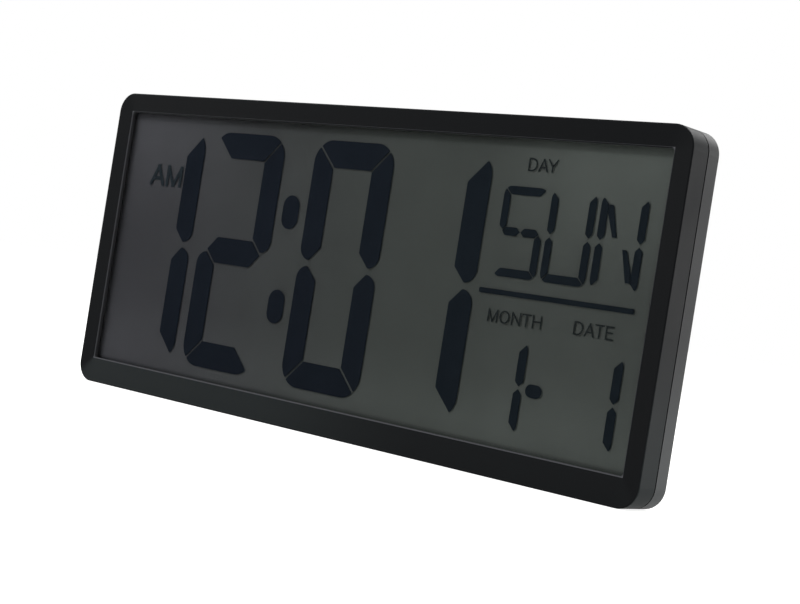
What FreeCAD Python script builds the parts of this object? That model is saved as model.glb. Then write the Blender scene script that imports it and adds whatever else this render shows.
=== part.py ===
import FreeCAD, Part
import math
import os
from collections import namedtuple

Vector = FreeCAD.Vector

# A wide LCD day clock, in millimetres. X runs to the viewer's right, the display faces -Y and the clock
# stands on Z = 0 at the middle of its base. A depth is measured back from the front edge of the bezel.

# Case
WIDTH = 368.0
HEIGHT = 160.0
RIM_DEPTH = 21.6
CORNER_RADIUS = 10.3
WALL = 2.2
BACK_THICKNESS = 2.0
SEAM_DEPTH = 11.85
SEAM_GAP = 0.7
REAR_EDGE_ROUND = 1.2
PLATEAU_INSET = 12.0
PLATEAU_RADIUS = 8.0
PLATEAU_ROUND = 0.6

# Bezel
BEZEL_SIDE = 9.9
BEZEL_TOP = 10.1
BEZEL_BOTTOM = 13.3
BEZEL_DISH = 1.4
BEZEL_EDGE_ROUND = 0.6
WINDOW_RADIUS = 1.5
WINDOW_CHAMFER = 0.4
LIP_THICKNESS = 1.8

# Tongue of the rear cover that reaches into the bezel behind the seam
TONGUE_THICKNESS = 1.2
TONGUE_REACH = 2.3
TONGUE_CLEARANCE = 0.15
TONGUE_ROOT = 2.0

# Display stack
GLASS_OVERLAP = 2.4
LEDGE_HEIGHT = 2.8
GASKET_THICKNESS = 0.4
GASKET_SETBACK = 0.3
POLARIZER_THICKNESS = 0.2
POLARIZER_SETBACK = 0.5
GLASS_THICKNESS = 1.1
CELL_GAP = 0.2
SEAL_WIDTH = 1.4
SEAL_SETBACK = 0.3
SEGMENT_THICKNESS = 0.1
REFLECTOR_THICKNESS = 0.3
FILM_GAP = 0.03
RETAINER_WALL = 1.2
RETAINER_CLEARANCE = 0.2

# Carrier plate behind the display
CARRIER_THICKNESS = 2.0
CARRIER_GAP = 0.04
TAB_THICKNESS = 1.6
TAB_HEIGHT = 8.0
TAB_SPACING = 50.0
TAB_HOLE_CLEARANCE = 0.2
TAB_EDGE_CLEARANCE = 0.4
TAB_BOSS_RADIUS = 2.2
NOTCH_HEIGHT = 4.0
NOTCH_MARGIN = 3.0

# Display layout inside the window
TIME_MARGIN_LEFT = 6.85
TIME_MARGIN_BOTTOM = 6.7
TIME_MARGIN_TOP = 6.9
DIGIT_GAP = 6.9
COLON_SPACE = 21.6
COLON_CENTRE = 10.5
BLOCK_GAP = 8.55
BLOCK_WIDTH = 76.8
BLOCK_MARGIN_RIGHT = 9.6
TIME_STROKE = 13.4
TIME_CORNER = 12.0
TIME_SEGMENT_GAP = 1.1
COLON_WIDTH = 11.2
COLON_HEIGHT = 17.0
COLON_SPACING = 47.7
LETTER_HEIGHT = 40.7
LETTER_GAP = 2.3
LETTER_STROKE = 3.8
LETTER_CORNER = 4.2
LETTER_SEGMENT_GAP = 0.45
LETTER_DIAGONAL = 2.3
LETTER_RISE = 5.95
DIVIDER_THICKNESS = 2.3
DIVIDER_LEFT_OVERHANG = 5.6
DIVIDER_RIGHT_OVERHANG = 0.5
DIVIDER_DROP = 0.6
DATE_HEIGHT = 40.8
DATE_MARGIN_BOTTOM = 7.1
DATE_END_INSET = 0.3
DATE_DIGIT_WIDTH = 22.0
DATE_STROKE = 4.5
DATE_CORNER = 4.2
DATE_SEGMENT_GAP = 0.4
DASH_WIDTH = 8.8
DASH_HEIGHT = 5.8
DASH_GAP = 1.8
DASH_DROP = 0.35
DASH_OFFSET = 26.6
ROUND_END = 0.49
SQUARE_END = 0.2

# Case screws
SCREW_INSET = 4.7
SCREW_END_INSET = 12.0
SCREW_INNER_X = 60.0
SCREW_RADIUS = 1.3
SCREW_LENGTH = 10.0
SCREW_HEAD_RADIUS = 2.1
SCREW_HEAD_HEIGHT = 1.6
SCREW_BOSS_RADIUS = 2.7
SCREW_POST_RADIUS = 3.3
SCREW_JOINT_DEPTH = 13.5
SCREW_FLOOR = 3.3
COUNTERBORE_CLEARANCE = 0.4
THREAD_CLEARANCE = 0.02
SHANK_CLEARANCE = 0.25

# Small screws of the carrier and the circuit board
SMALL_SCREW_RADIUS = 0.95
SMALL_SCREW_HEAD_RADIUS = 1.8
SMALL_SCREW_HEAD_HEIGHT = 1.3
SMALL_SCREW_LENGTH = 4.0
PILOT_EXTRA = 0.6

# Cross recess of every screw, as shares of its head
RECESS_SPAN = 1.2
RECESS_SLOT = 0.3
RECESS_DEPTH = 0.55

# Two AA cells and their compartment
CELL_LENGTH = 50.5
CELL_RADIUS = 7.1
CELL_NUB_RADIUS = 2.7
CELL_NUB_HEIGHT = 1.0
CELL_ROUND = 0.8
CELL_PITCH = 15.2
CELL_CLEARANCE = 0.2
TUB_SIDE_CLEARANCE = 0.7
TUB_CLEARANCE = 1.1
TUB_WALL = 1.6
TUB_END_INSET = 2.4
CONTACT_THICKNESS = 0.4
CONTACT_WIDTH = 9.0
CONTACT_HEIGHT = 10.0
CONTACT_DIMPLE = 1.4
CONTACT_DIMPLE_RADIUS = 2.2
TAIL_LENGTH = 3.6
TAIL_WIDTH = 3.0
TAIL_DROP = 3.2
TAIL_CLEARANCE = 0.2
SPRING_HEIGHT = 6.5
SPRING_RADIUS = 3.4
SPRING_WIRE_RADIUS = 0.35
SPRING_TURNS = 3.5

# Battery door
DOOR_THICKNESS = 1.5
DOOR_RECESS = 0.6
DOOR_SIDE_CLEARANCE = 0.2
DOOR_TONGUE_WIDTH = 1.2
DOOR_TONGUE_THICKNESS = 1.0
DOOR_GROOVE_CLEARANCE = 0.1
DOOR_COVER = 1.4
RAIL_WALL = 2.4
RAIL_BASE = 1.3
GRIP_RIDGES = 5
GRIP_PITCH = 2.6
GRIP_RADIUS = 0.5
GRIP_LENGTH = 22.0
GRIP_INSET = 6.0
ARROW_GAP = 5.0
ARROW_LENGTH = 8.0
ARROW_WIDTH = 9.0
ARROW_RISE = 0.3

# Fold-out leg
HINGE_HEIGHT = 96.0
HINGE_INSET = 3.0
HINGE_BARREL_RADIUS = 2.7
HINGE_BOSS_RADIUS = 2.9
HINGE_BOSS_LENGTH = 4.5
PIN_RADIUS = 1.5
PIN_CLEARANCE = 0.05
PIN_FIT = 0.02
PIN_ENGAGEMENT = 4.0
LEG_WIDTH = 73.0
LEG_FOOT_WIDTH = 58.0
LEG_SIDE_CLEARANCE = 0.5
LEG_FOOT_GAP = 3.0
LEG_PLATE = 2.0
LEG_RECESS = 0.6
LEG_RIB_DEPTH = 2.6
LEG_RIB_WIDTH = 1.8
LEG_FOOT_RADIUS = 5.0
LEG_HEEL = 6.0
LEG_HEEL_SETBACK = 0.3
STAND_RECESS_DEPTH = 6.0
STAND_FLOOR = 1.8
STAND_WALL = 2.0
STAND_TOP_CLEARANCE = 1.0

# Four setting buttons and the board behind them
BUTTON_COUNT = 4
BUTTON_PITCH = 24.0
BUTTON_END_INSET = 84.0
BUTTON_RADIUS = 3.6
BUTTON_CLEARANCE = 0.15
BUTTON_FLUSH = 0.4
BUTTON_FLANGE_RADIUS = 4.7
BUTTON_FLANGE_THICKNESS = 1.0
BUTTON_FLANGE_GAP = 0.2
BUTTON_STEM_RADIUS = 2.6
BUTTON_STEM_LENGTH = 2.0
BUTTON_ROUND = 0.5
POCKET_DEPTH = 1.5
POCKET_FLOOR = 1.8
POCKET_MARGIN_X = 6.0
POCKET_HALF_HEIGHT = 9.0
POCKET_RADIUS = 4.0
POCKET_FRAME = 2.0
SWITCH_SIDE = 6.0
SWITCH_HEIGHT = 3.5
SWITCH_BORE_DEPTH = 1.8
PLUNGER_RADIUS = 1.7
PLUNGER_PROTRUSION = 1.0
PLUNGER_DEPTH = 1.2
PLUNGER_CLEARANCE = 0.05
BOARD_THICKNESS = 1.6
BOARD_MARGIN_X = 12.0
BOARD_HEIGHT = 46.0
BOARD_HOLE_INSET = 4.0
BOARD_BOSS_RADIUS = 3.0
BOARD_HOLE_CLEARANCE = 0.2

# Components on the board
CHIP_RADIUS = 7.0
CHIP_HEIGHT = 2.0
CHIP_OFFSET_X = -16.0
CRYSTAL_RADIUS = 1.0
CRYSTAL_LENGTH = 6.0
CRYSTAL_OFFSET_X = 2.0
CRYSTAL_OFFSET_Z = 9.0
CAPACITOR_COUNT = 5
CAPACITOR_PITCH = 6.0
CAPACITOR_LENGTH = 2.0
CAPACITOR_WIDTH = 1.25
CAPACITOR_HEIGHT = 0.9
CAPACITOR_OFFSET_X = 14.0
CAPACITOR_OFFSET_Z = 9.0

# Heat-seal ribbon from the glass ledge to the board
RIBBON_WIDTH = 60.0
RIBBON_THICKNESS = 0.15
RIBBON_START = 0.3
RIBBON_LEDGE_RADIUS = 1.0
RIBBON_BOARD_RADIUS = 3.0
RIBBON_OVERLAP = 4.0

# Battery leads
LEAD_RADIUS = 0.6
LEAD_SOLDER = 0.06
LEAD_ARC_SHARE = 0.45

# Wall hooks
KEYHOLE_SPACING = 220.0
KEYHOLE_DROP = 28.0
KEYHOLE_RADIUS = 4.0
KEYHOLE_SLOT_RADIUS = 2.2
KEYHOLE_SLOT_LENGTH = 9.0

# Sizes that follow from the ones above
LIP_BACK = BEZEL_DISH + LIP_THICKNESS
POLARIZER_FRONT = LIP_BACK + GASKET_THICKNESS
FRONT_GLASS_FRONT = POLARIZER_FRONT + POLARIZER_THICKNESS + FILM_GAP
FRONT_GLASS_BACK = FRONT_GLASS_FRONT + GLASS_THICKNESS
REAR_GLASS_FRONT = FRONT_GLASS_BACK + CELL_GAP
REAR_GLASS_BACK = REAR_GLASS_FRONT + GLASS_THICKNESS
REFLECTOR_FRONT = REAR_GLASS_BACK + FILM_GAP
CARRIER_FRONT = REFLECTOR_FRONT + REFLECTOR_THICKNESS + CARRIER_GAP
CARRIER_BACK = CARRIER_FRONT + CARRIER_THICKNESS
TAB_FRONT = CARRIER_BACK - TAB_THICKNESS
SEGMENT_FRONT = (FRONT_GLASS_BACK + REAR_GLASS_FRONT - SEGMENT_THICKNESS) / 2.0
REAR_COVER_FRONT = SEAM_DEPTH + SEAM_GAP
TUB_FLOOR_FRONT = CARRIER_BACK + TUB_CLEARANCE
TUB_FLOOR_BACK = TUB_FLOOR_FRONT + TUB_WALL
CELL_DEPTH = TUB_FLOOR_BACK + CELL_CLEARANCE + CELL_RADIUS
DOOR_FRONT = CELL_DEPTH + CELL_RADIUS + CELL_CLEARANCE
DOOR_BACK = DOOR_FRONT + DOOR_THICKNESS
DEPTH = DOOR_BACK + DOOR_RECESS
BACK_FRONT = DEPTH - BACK_THICKNESS
HINGE_DEPTH = DEPTH - HINGE_INSET
STAND_FLOOR_BACK = DEPTH - STAND_RECESS_DEPTH
STAND_FLOOR_FRONT = STAND_FLOOR_BACK - STAND_FLOOR
POCKET_BACK = DEPTH - POCKET_DEPTH
POCKET_FRONT = POCKET_BACK - POCKET_FLOOR
FLANGE_BACK = POCKET_FRONT - BUTTON_FLANGE_GAP
FLANGE_FRONT = FLANGE_BACK - BUTTON_FLANGE_THICKNESS
STEM_FRONT = FLANGE_FRONT - BUTTON_STEM_LENGTH
SWITCH_BACK = STEM_FRONT - PLUNGER_PROTRUSION
BOARD_BACK = SWITCH_BACK - SWITCH_HEIGHT
BOARD_FRONT = BOARD_BACK - BOARD_THICKNESS
SCREW_SEAT = SCREW_JOINT_DEPTH + SCREW_FLOOR
MIDDLE_Z = HEIGHT / 2.0
BUTTON_CENTRE_X = WIDTH / 2.0 - BUTTON_END_INSET
TUB_LEFT = -WIDTH / 2.0 + PLATEAU_INSET + TUB_END_INSET
TUB_RIGHT = TUB_LEFT + CELL_LENGTH + SPRING_HEIGHT + CONTACT_DIMPLE + 2.0 * CONTACT_THICKNESS
TUB_HALF_HEIGHT = CELL_PITCH / 2.0 + CELL_RADIUS + TUB_SIDE_CLEARANCE
DOOR_HALF_HEIGHT = TUB_HALF_HEIGHT + DOOR_TONGUE_WIDTH
DOOR_RIGHT = TUB_RIGHT + DOOR_COVER
HOLLOW_CUT = 1.0

Outline = namedtuple("Outline", "left right bottom top radius")
Cell = namedtuple("Cell", "left bottom width height stroke corner gap pointed")
Screw = namedtuple("Screw", "radius length head_radius head_height")

CASE = Outline(-WIDTH / 2.0, WIDTH / 2.0, 0.0, HEIGHT, CORNER_RADIUS)
WINDOW = Outline(-WIDTH / 2.0 + BEZEL_SIDE, WIDTH / 2.0 - BEZEL_SIDE, BEZEL_BOTTOM, HEIGHT - BEZEL_TOP,
                 WINDOW_RADIUS)
CASE_SCREW = Screw(SCREW_RADIUS, SCREW_LENGTH, SCREW_HEAD_RADIUS, SCREW_HEAD_HEIGHT)
SMALL_SCREW = Screw(SMALL_SCREW_RADIUS, SMALL_SCREW_LENGTH, SMALL_SCREW_HEAD_RADIUS,
                    SMALL_SCREW_HEAD_HEIGHT)


# ---- Shapes that everything is made from ----

def y_at(depth):
    """Y of a plane that lies this far behind the front edge."""
    return depth - DEPTH / 2.0


def inset(outline, amount):
    """The same outline moved inwards all round, or outwards when the amount is negative."""
    radius = max(outline.radius - amount, 0.0)
    return Outline(outline.left + amount, outline.right - amount, outline.bottom + amount,
                   outline.top - amount, radius)


def corner_arc(before, here, after, radius):
    """Start, middle and end of the arc that rounds one corner of a polygon."""
    to_before = (before - here).normalize()
    to_after = (after - here).normalize()
    half = to_before.getAngle(to_after) / 2.0
    reach = radius / math.tan(half)
    bisector = (to_before + to_after).normalize()
    middle = here + bisector * (radius / math.sin(half) - radius)
    return here + to_before * reach, middle, here + to_after * reach


def rounded_wire(points, depth):
    """Closed wire in a plane of constant depth through (x, z, corner radius) points."""
    corners = [Vector(x, y_at(depth), z) for x, z, radius in points]
    stops = []
    for index, (x, z, radius) in enumerate(points):
        here = corners[index]
        if radius > 0.0:
            after = corners[(index + 1) % len(corners)]
            stops.append(corner_arc(corners[index - 1], here, after, radius))
        else:
            stops.append((here, None, here))
    edges = []
    for index, (start, middle, end) in enumerate(stops):
        if middle is not None:
            edges.append(Part.Arc(start, middle, end).toShape())
        following = stops[(index + 1) % len(stops)][0]
        if end.distanceToPoint(following) > 1.0e-6:
            edges.append(Part.makeLine(end, following))
    return Part.Wire(edges)


def outline_wire(outline, depth):
    """Wire of a rounded rectangle."""
    radius = outline.radius
    points = [(outline.right, outline.top, radius), (outline.left, outline.top, radius),
              (outline.left, outline.bottom, radius), (outline.right, outline.bottom, radius)]
    return rounded_wire(points, depth)


def prism(points, front, back):
    """Solid between two depths with the given (x, z, corner radius) outline."""
    return Part.Face(rounded_wire(points, front)).extrude(Vector(0.0, back - front, 0.0))


def plate(outline, front, back):
    """Rounded rectangle between two depths."""
    return Part.Face(outline_wire(outline, front)).extrude(Vector(0.0, back - front, 0.0))


def ring(outer, inner, front, back):
    """Frame between two rounded rectangles."""
    return plate(outer, front, back).cut(plate(inner, front, back))


def funnel(wide, narrow, front, back):
    """Solid that narrows from one rounded rectangle to another, with one ruled face per side."""
    return Part.makeLoft([outline_wire(wide, front), outline_wire(narrow, back)], True, True)


def block(left, right, front, back, bottom, top):
    """Box from its six sides."""
    corner = Vector(left, y_at(front), bottom)
    return Part.makeBox(right - left, back - front, top - bottom, corner)


def rod(x, z, radius, front, back):
    """Cylinder that runs from front to back."""
    return Part.makeCylinder(radius, back - front, Vector(x, y_at(front), z), Vector(0.0, 1.0, 0.0))


def cross_rod(left, right, radius, depth, z):
    """Cylinder that runs from left to right."""
    return Part.makeCylinder(radius, right - left, Vector(left, y_at(depth), z), Vector(1.0, 0.0, 0.0))


def join(shapes):
    """One solid from several that touch."""
    return shapes[0].fuse(shapes[1:]).removeSplitter()


def carve(shape, tools):
    """A solid less every tool."""
    return shape.cut(tools).removeSplitter()


def flat_edges(shape, depth):
    """Edges that lie at one depth."""
    y = y_at(depth)
    return [edge for edge in shape.Edges
            if abs(edge.BoundBox.YMin - y) < 1.0e-4 and abs(edge.BoundBox.YMax - y) < 1.0e-4]


def screw(kind, x, z, seat, facing):
    """Pan-head screw whose head sits on a depth; facing is +1 when it is driven from the back."""
    tip = seat - facing * kind.length
    head = seat + facing * kind.head_height
    body = rod(x, z, kind.radius, min(seat, tip), max(seat, tip))
    cap = rod(x, z, kind.head_radius, min(seat, head), max(seat, head))
    cap = cap.makeFillet(kind.head_height / 3.0, flat_edges(cap, head))
    reach = kind.head_radius * RECESS_SPAN / 2.0
    slot = kind.head_radius * RECESS_SLOT / 2.0
    bottom = head - facing * kind.head_height * RECESS_DEPTH
    low = min(head, bottom)
    high = max(head, bottom)
    cross = [block(x - reach, x + reach, low, high, z - slot, z + slot),
             block(x - slot, x + slot, low, high, z - reach, z + reach)]
    return join([body, cap]).cut(cross)


# ---- Where things stand ----

def case_screw_places():
    """Eight case screws: four along the bottom edge and four along the top."""
    end = WIDTH / 2.0 - SCREW_END_INSET
    rows = (SCREW_INSET, HEIGHT - SCREW_INSET)
    return [(x, z) for z in rows for x in (-end, -SCREW_INNER_X, SCREW_INNER_X, end)]


def front_glass_outline():
    """Front glass: the window and its overlap, with the contact ledge below."""
    around = inset(WINDOW, -GLASS_OVERLAP)
    return around._replace(bottom=around.bottom - LEDGE_HEIGHT, radius=0.0)


def rear_glass_outline():
    """Rear glass: as the front glass without the ledge."""
    return inset(WINDOW, -GLASS_OVERLAP)._replace(radius=0.0)


def retainer_outline():
    """Inner side of the wall that holds the display."""
    return inset(front_glass_outline(), -RETAINER_CLEARANCE)


def tab_screw_places():
    """Six carrier screws: three down each side, between the retaining wall and the case wall."""
    between = (retainer_outline().right + RETAINER_WALL + WIDTH / 2.0 - WALL) / 2.0
    heights = (MIDDLE_Z - TAB_SPACING, MIDDLE_Z, MIDDLE_Z + TAB_SPACING)
    return [(side * between, z) for side in (-1.0, 1.0) for z in heights]


def plateau_outline():
    """Raised middle of the back."""
    return inset(CASE, PLATEAU_INSET)._replace(radius=PLATEAU_RADIUS)


def button_places():
    """X of each button, in one row."""
    first = BUTTON_CENTRE_X - BUTTON_PITCH * (BUTTON_COUNT - 1) / 2.0
    return [first + BUTTON_PITCH * index for index in range(BUTTON_COUNT)]


def board_outline():
    """Circuit board behind the buttons."""
    reach = BUTTON_PITCH * (BUTTON_COUNT - 1) / 2.0 + BOARD_MARGIN_X
    return Outline(BUTTON_CENTRE_X - reach, BUTTON_CENTRE_X + reach, MIDDLE_Z - BOARD_HEIGHT / 2.0,
                   MIDDLE_Z + BOARD_HEIGHT / 2.0, 1.0)


def board_screw_places():
    """Four board screws, one by each corner."""
    corners = inset(board_outline(), BOARD_HOLE_INSET)
    return [(x, z) for x in (corners.left, corners.right) for z in (corners.bottom, corners.top)]


def cell_rows():
    """Height of the upper and the lower cell."""
    return MIDDLE_Z + CELL_PITCH / 2.0, MIDDLE_Z - CELL_PITCH / 2.0


def digit_width():
    """Width of one time digit: what the margins, gaps, colon and date block leave of the window."""
    window = WINDOW.right - WINDOW.left
    taken = TIME_MARGIN_LEFT + 2.0 * DIGIT_GAP + COLON_SPACE + BLOCK_GAP + BLOCK_WIDTH
    return (window - taken - BLOCK_MARGIN_RIGHT) / 4.0


def divider_height():
    """Middle of the line between the weekday and the date."""
    return (WINDOW.bottom + WINDOW.top) / 2.0 - DIVIDER_DROP


# ---- Case ----

def make_front_bezel():
    """Bezel: dished face, window lip, retaining wall for the display and the screw bosses."""
    body = plate(CASE, 0.0, SEAM_DEPTH)
    body = body.makeFillet(BEZEL_EDGE_ROUND, flat_edges(body, 0.0))
    chamfer = inset(WINDOW, -WINDOW_CHAMFER)
    hollow = [
        funnel(inset(CASE, BEZEL_EDGE_ROUND), chamfer, 0.0, BEZEL_DISH),
        funnel(chamfer, WINDOW, BEZEL_DISH, BEZEL_DISH + WINDOW_CHAMFER),
        plate(WINDOW, BEZEL_DISH, LIP_BACK + HOLLOW_CUT),
        plate(inset(CASE, WALL), LIP_BACK, SEAM_DEPTH + HOLLOW_CUT),
    ]
    body = carve(body, hollow)
    retainer = retainer_outline()
    solids = [body, ring(inset(retainer, -RETAINER_WALL), retainer, LIP_BACK, TAB_FRONT)]
    pilots = []
    for x, z in case_screw_places():
        solids.append(rod(x, z, SCREW_BOSS_RADIUS, LIP_BACK, SCREW_JOINT_DEPTH))
        bottom = SCREW_SEAT - SCREW_LENGTH - PILOT_EXTRA
        pilots.append(rod(x, z, SCREW_RADIUS + THREAD_CLEARANCE, bottom, SCREW_JOINT_DEPTH))
    for x, z in tab_screw_places():
        solids.append(rod(x, z, TAB_BOSS_RADIUS, LIP_BACK, TAB_FRONT))
        bottom = CARRIER_BACK - SMALL_SCREW_LENGTH - PILOT_EXTRA
        pilots.append(rod(x, z, SMALL_SCREW_RADIUS + THREAD_CLEARANCE, bottom, TAB_FRONT))
    return carve(join(solids), pilots)


def rear_shell():
    """Rim and raised middle of the rear cover, hollow from the front."""
    rim = plate(CASE, REAR_COVER_FRONT, RIM_DEPTH)
    rim = rim.makeFillet(REAR_EDGE_ROUND, flat_edges(rim, RIM_DEPTH))
    middle = plate(plateau_outline(), RIM_DEPTH - BACK_THICKNESS, DEPTH)
    middle = middle.makeFillet(PLATEAU_ROUND, flat_edges(middle, DEPTH))
    hollow = [
        plate(inset(CASE, WALL), REAR_COVER_FRONT - HOLLOW_CUT, RIM_DEPTH - BACK_THICKNESS),
        plate(inset(plateau_outline(), BACK_THICKNESS), REAR_COVER_FRONT, BACK_FRONT),
    ]
    return carve(join([rim, middle]), hollow)


def tongue_ring():
    """Wall inside the seam: it grows from the rear cover and reaches into the bezel."""
    outer = inset(CASE, WALL + TONGUE_CLEARANCE)
    inner = inset(outer, TONGUE_THICKNESS)
    root = ring(inset(CASE, WALL / 2.0), inner, REAR_COVER_FRONT, REAR_COVER_FRONT + TONGUE_ROOT)
    reach = ring(outer, inner, REAR_COVER_FRONT - TONGUE_REACH, REAR_COVER_FRONT)
    return join([root, reach])


def stand_recess_outline(side_wall):
    """Recess that the leg folds into, open at the bottom, with or without its walls."""
    half = LEG_WIDTH / 2.0 + LEG_SIDE_CLEARANCE
    heel = math.hypot(LEG_HEEL, HINGE_BARREL_RADIUS)
    return Outline(-half - side_wall, half + side_wall, plateau_outline().bottom,
                   HINGE_HEIGHT + heel + STAND_TOP_CLEARANCE + side_wall, 0.0)


def pocket_outline():
    """Shallow pocket round the buttons."""
    reach = BUTTON_PITCH * (BUTTON_COUNT - 1) / 2.0 + POCKET_MARGIN_X
    return Outline(BUTTON_CENTRE_X - reach, BUTTON_CENTRE_X + reach, MIDDLE_Z - POCKET_HALF_HEIGHT,
                   MIDDLE_Z + POCKET_HALF_HEIGHT, POCKET_RADIUS)


def tub_solids():
    """Walls of the battery compartment and the two rails of its door."""
    outer_left = plateau_outline().left + BACK_THICKNESS / 2.0
    walls = block(outer_left, TUB_RIGHT + TUB_WALL, TUB_FLOOR_FRONT, DOOR_FRONT - DOOR_GROOVE_CLEARANCE,
                  MIDDLE_Z - TUB_HALF_HEIGHT - TUB_WALL, MIDDLE_Z + TUB_HALF_HEIGHT + TUB_WALL)
    solids = [walls]
    far = DOOR_HALF_HEIGHT + DOOR_GROOVE_CLEARANCE + RAIL_WALL
    for low, high in ((-far, -TUB_HALF_HEIGHT), (TUB_HALF_HEIGHT, far)):
        solids.append(block(outer_left, TUB_RIGHT + TUB_WALL, DOOR_FRONT - RAIL_BASE, DEPTH,
                            MIDDLE_Z + low, MIDDLE_Z + high))
    return solids


def tub_cuts():
    """Room for the cells, the door and its tongues, and the slots of the two contact tails."""
    half_slot = TUB_HALF_HEIGHT + DOOR_SIDE_CLEARANCE
    half_groove = DOOR_HALF_HEIGHT + DOOR_GROOVE_CLEARANCE
    outside = plateau_outline().left - HOLLOW_CUT
    groove_front = DOOR_FRONT - DOOR_GROOVE_CLEARANCE
    groove_back = DOOR_FRONT + DOOR_TONGUE_THICKNESS + DOOR_GROOVE_CLEARANCE
    end = DOOR_RIGHT + DOOR_SIDE_CLEARANCE
    cuts = [
        block(TUB_LEFT, TUB_RIGHT, TUB_FLOOR_BACK, DEPTH, MIDDLE_Z - TUB_HALF_HEIGHT,
              MIDDLE_Z + TUB_HALF_HEIGHT),
        block(outside, end, groove_front, DEPTH + HOLLOW_CUT, MIDDLE_Z - half_slot, MIDDLE_Z + half_slot),
        block(outside, end, groove_front, groove_back, MIDDLE_Z - half_groove, MIDDLE_Z + half_groove),
    ]
    half_width = TAIL_WIDTH / 2.0 + TAIL_CLEARANCE
    for z in cell_rows():
        front = CELL_DEPTH - TAIL_DROP - TAIL_CLEARANCE
        back = CELL_DEPTH - TAIL_DROP + CONTACT_THICKNESS + TAIL_CLEARANCE
        cuts.append(block(TUB_RIGHT - HOLLOW_CUT, TUB_RIGHT + TUB_WALL + HOLLOW_CUT, front, back,
                          z - half_width, z + half_width))
    return cuts


def keyhole_cuts(x):
    """Round entry and the narrow slot above it."""
    z = HEIGHT - KEYHOLE_DROP
    top = z + KEYHOLE_SLOT_LENGTH
    front = BACK_FRONT - HOLLOW_CUT
    back = DEPTH + HOLLOW_CUT
    return [
        rod(x, z, KEYHOLE_RADIUS, front, back),
        block(x - KEYHOLE_SLOT_RADIUS, x + KEYHOLE_SLOT_RADIUS, front, back, z, top),
        rod(x, top, KEYHOLE_SLOT_RADIUS, front, back),
    ]


def make_rear_cover():
    """Rear cover with its tongue, posts, stand recess, battery compartment, pocket and keyholes."""
    recess_walls = stand_recess_outline(STAND_WALL)
    recess = stand_recess_outline(0.0)
    pocket = pocket_outline()
    solids = [rear_shell(), tongue_ring()]
    solids.append(plate(recess_walls, STAND_FLOOR_FRONT, DEPTH))
    solids.append(plate(inset(pocket, -POCKET_FRAME), POCKET_FRONT, DEPTH))
    solids += tub_solids()
    cuts = tub_cuts()
    for x, z in case_screw_places():
        solids.append(rod(x, z, SCREW_POST_RADIUS, SCREW_JOINT_DEPTH, RIM_DEPTH))
        cuts.append(rod(x, z, SCREW_BOSS_RADIUS + TONGUE_CLEARANCE, 0.0, SCREW_JOINT_DEPTH))
        cuts.append(rod(x, z, SCREW_RADIUS + SHANK_CLEARANCE, 0.0, DEPTH))
        cuts.append(rod(x, z, SCREW_HEAD_RADIUS + COUNTERBORE_CLEARANCE, SCREW_SEAT, DEPTH))
    for x, z in board_screw_places():
        solids.append(rod(x, z, BOARD_BOSS_RADIUS, BOARD_BACK, DEPTH - BACK_THICKNESS / 2.0))
        tip = BOARD_FRONT + SMALL_SCREW_LENGTH + PILOT_EXTRA
        cuts.append(rod(x, z, SMALL_SCREW_RADIUS + THREAD_CLEARANCE, BOARD_BACK, tip))
    cuts.append(plate(recess._replace(bottom=recess.bottom - HOLLOW_CUT), STAND_FLOOR_BACK,
                      DEPTH + HOLLOW_CUT))
    for side in (-1.0, 1.0):
        inner = side * recess.right
        outer = side * (recess.right + HINGE_BOSS_LENGTH)
        solids.append(cross_rod(min(inner, outer), max(inner, outer), HINGE_BOSS_RADIUS, HINGE_DEPTH,
                                HINGE_HEIGHT))
    pin_reach = recess.right + HINGE_BOSS_LENGTH + HOLLOW_CUT
    cuts.append(cross_rod(-pin_reach, pin_reach, PIN_RADIUS + PIN_FIT, HINGE_DEPTH, HINGE_HEIGHT))
    cuts.append(plate(pocket, POCKET_BACK, DEPTH + HOLLOW_CUT))
    for x in button_places():
        cuts.append(rod(x, MIDDLE_Z, BUTTON_RADIUS + BUTTON_CLEARANCE, POCKET_FRONT, DEPTH))
    for x in (-KEYHOLE_SPACING / 2.0, KEYHOLE_SPACING / 2.0):
        cuts += keyhole_cuts(x)
    return carve(join(solids), cuts)


def make_case_screws():
    """Eight long screws, driven from the back."""
    return Part.makeCompound([screw(CASE_SCREW, x, z, SCREW_SEAT, 1.0) for x, z in case_screw_places()])


# ---- Display ----

def make_lcd_gasket():
    """Foam frame between the window lip and the display."""
    outer = inset(front_glass_outline(), POLARIZER_SETBACK)
    return ring(outer, inset(WINDOW, -GASKET_SETBACK), LIP_BACK, POLARIZER_FRONT)


def make_lcd_front_polarizer():
    """Matt polarising film on the front glass."""
    outline = inset(front_glass_outline(), POLARIZER_SETBACK)
    return plate(outline, POLARIZER_FRONT, POLARIZER_FRONT + POLARIZER_THICKNESS)


def make_lcd_front_glass():
    """Front glass, with the contact ledge along its bottom."""
    return plate(front_glass_outline(), FRONT_GLASS_FRONT, FRONT_GLASS_BACK)


def make_lcd_cell_seal():
    """Edge seal between the glasses."""
    outer = inset(rear_glass_outline(), SEAL_SETBACK)
    return ring(outer, inset(outer, SEAL_WIDTH), FRONT_GLASS_BACK, REAR_GLASS_FRONT)


def make_lcd_rear_glass():
    """Rear glass."""
    return plate(rear_glass_outline(), REAR_GLASS_FRONT, REAR_GLASS_BACK)


def make_lcd_reflector():
    """Rear polariser and reflector in one film."""
    return plate(rear_glass_outline(), REFLECTOR_FRONT, REFLECTOR_FRONT + REFLECTOR_THICKNESS)


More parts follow.
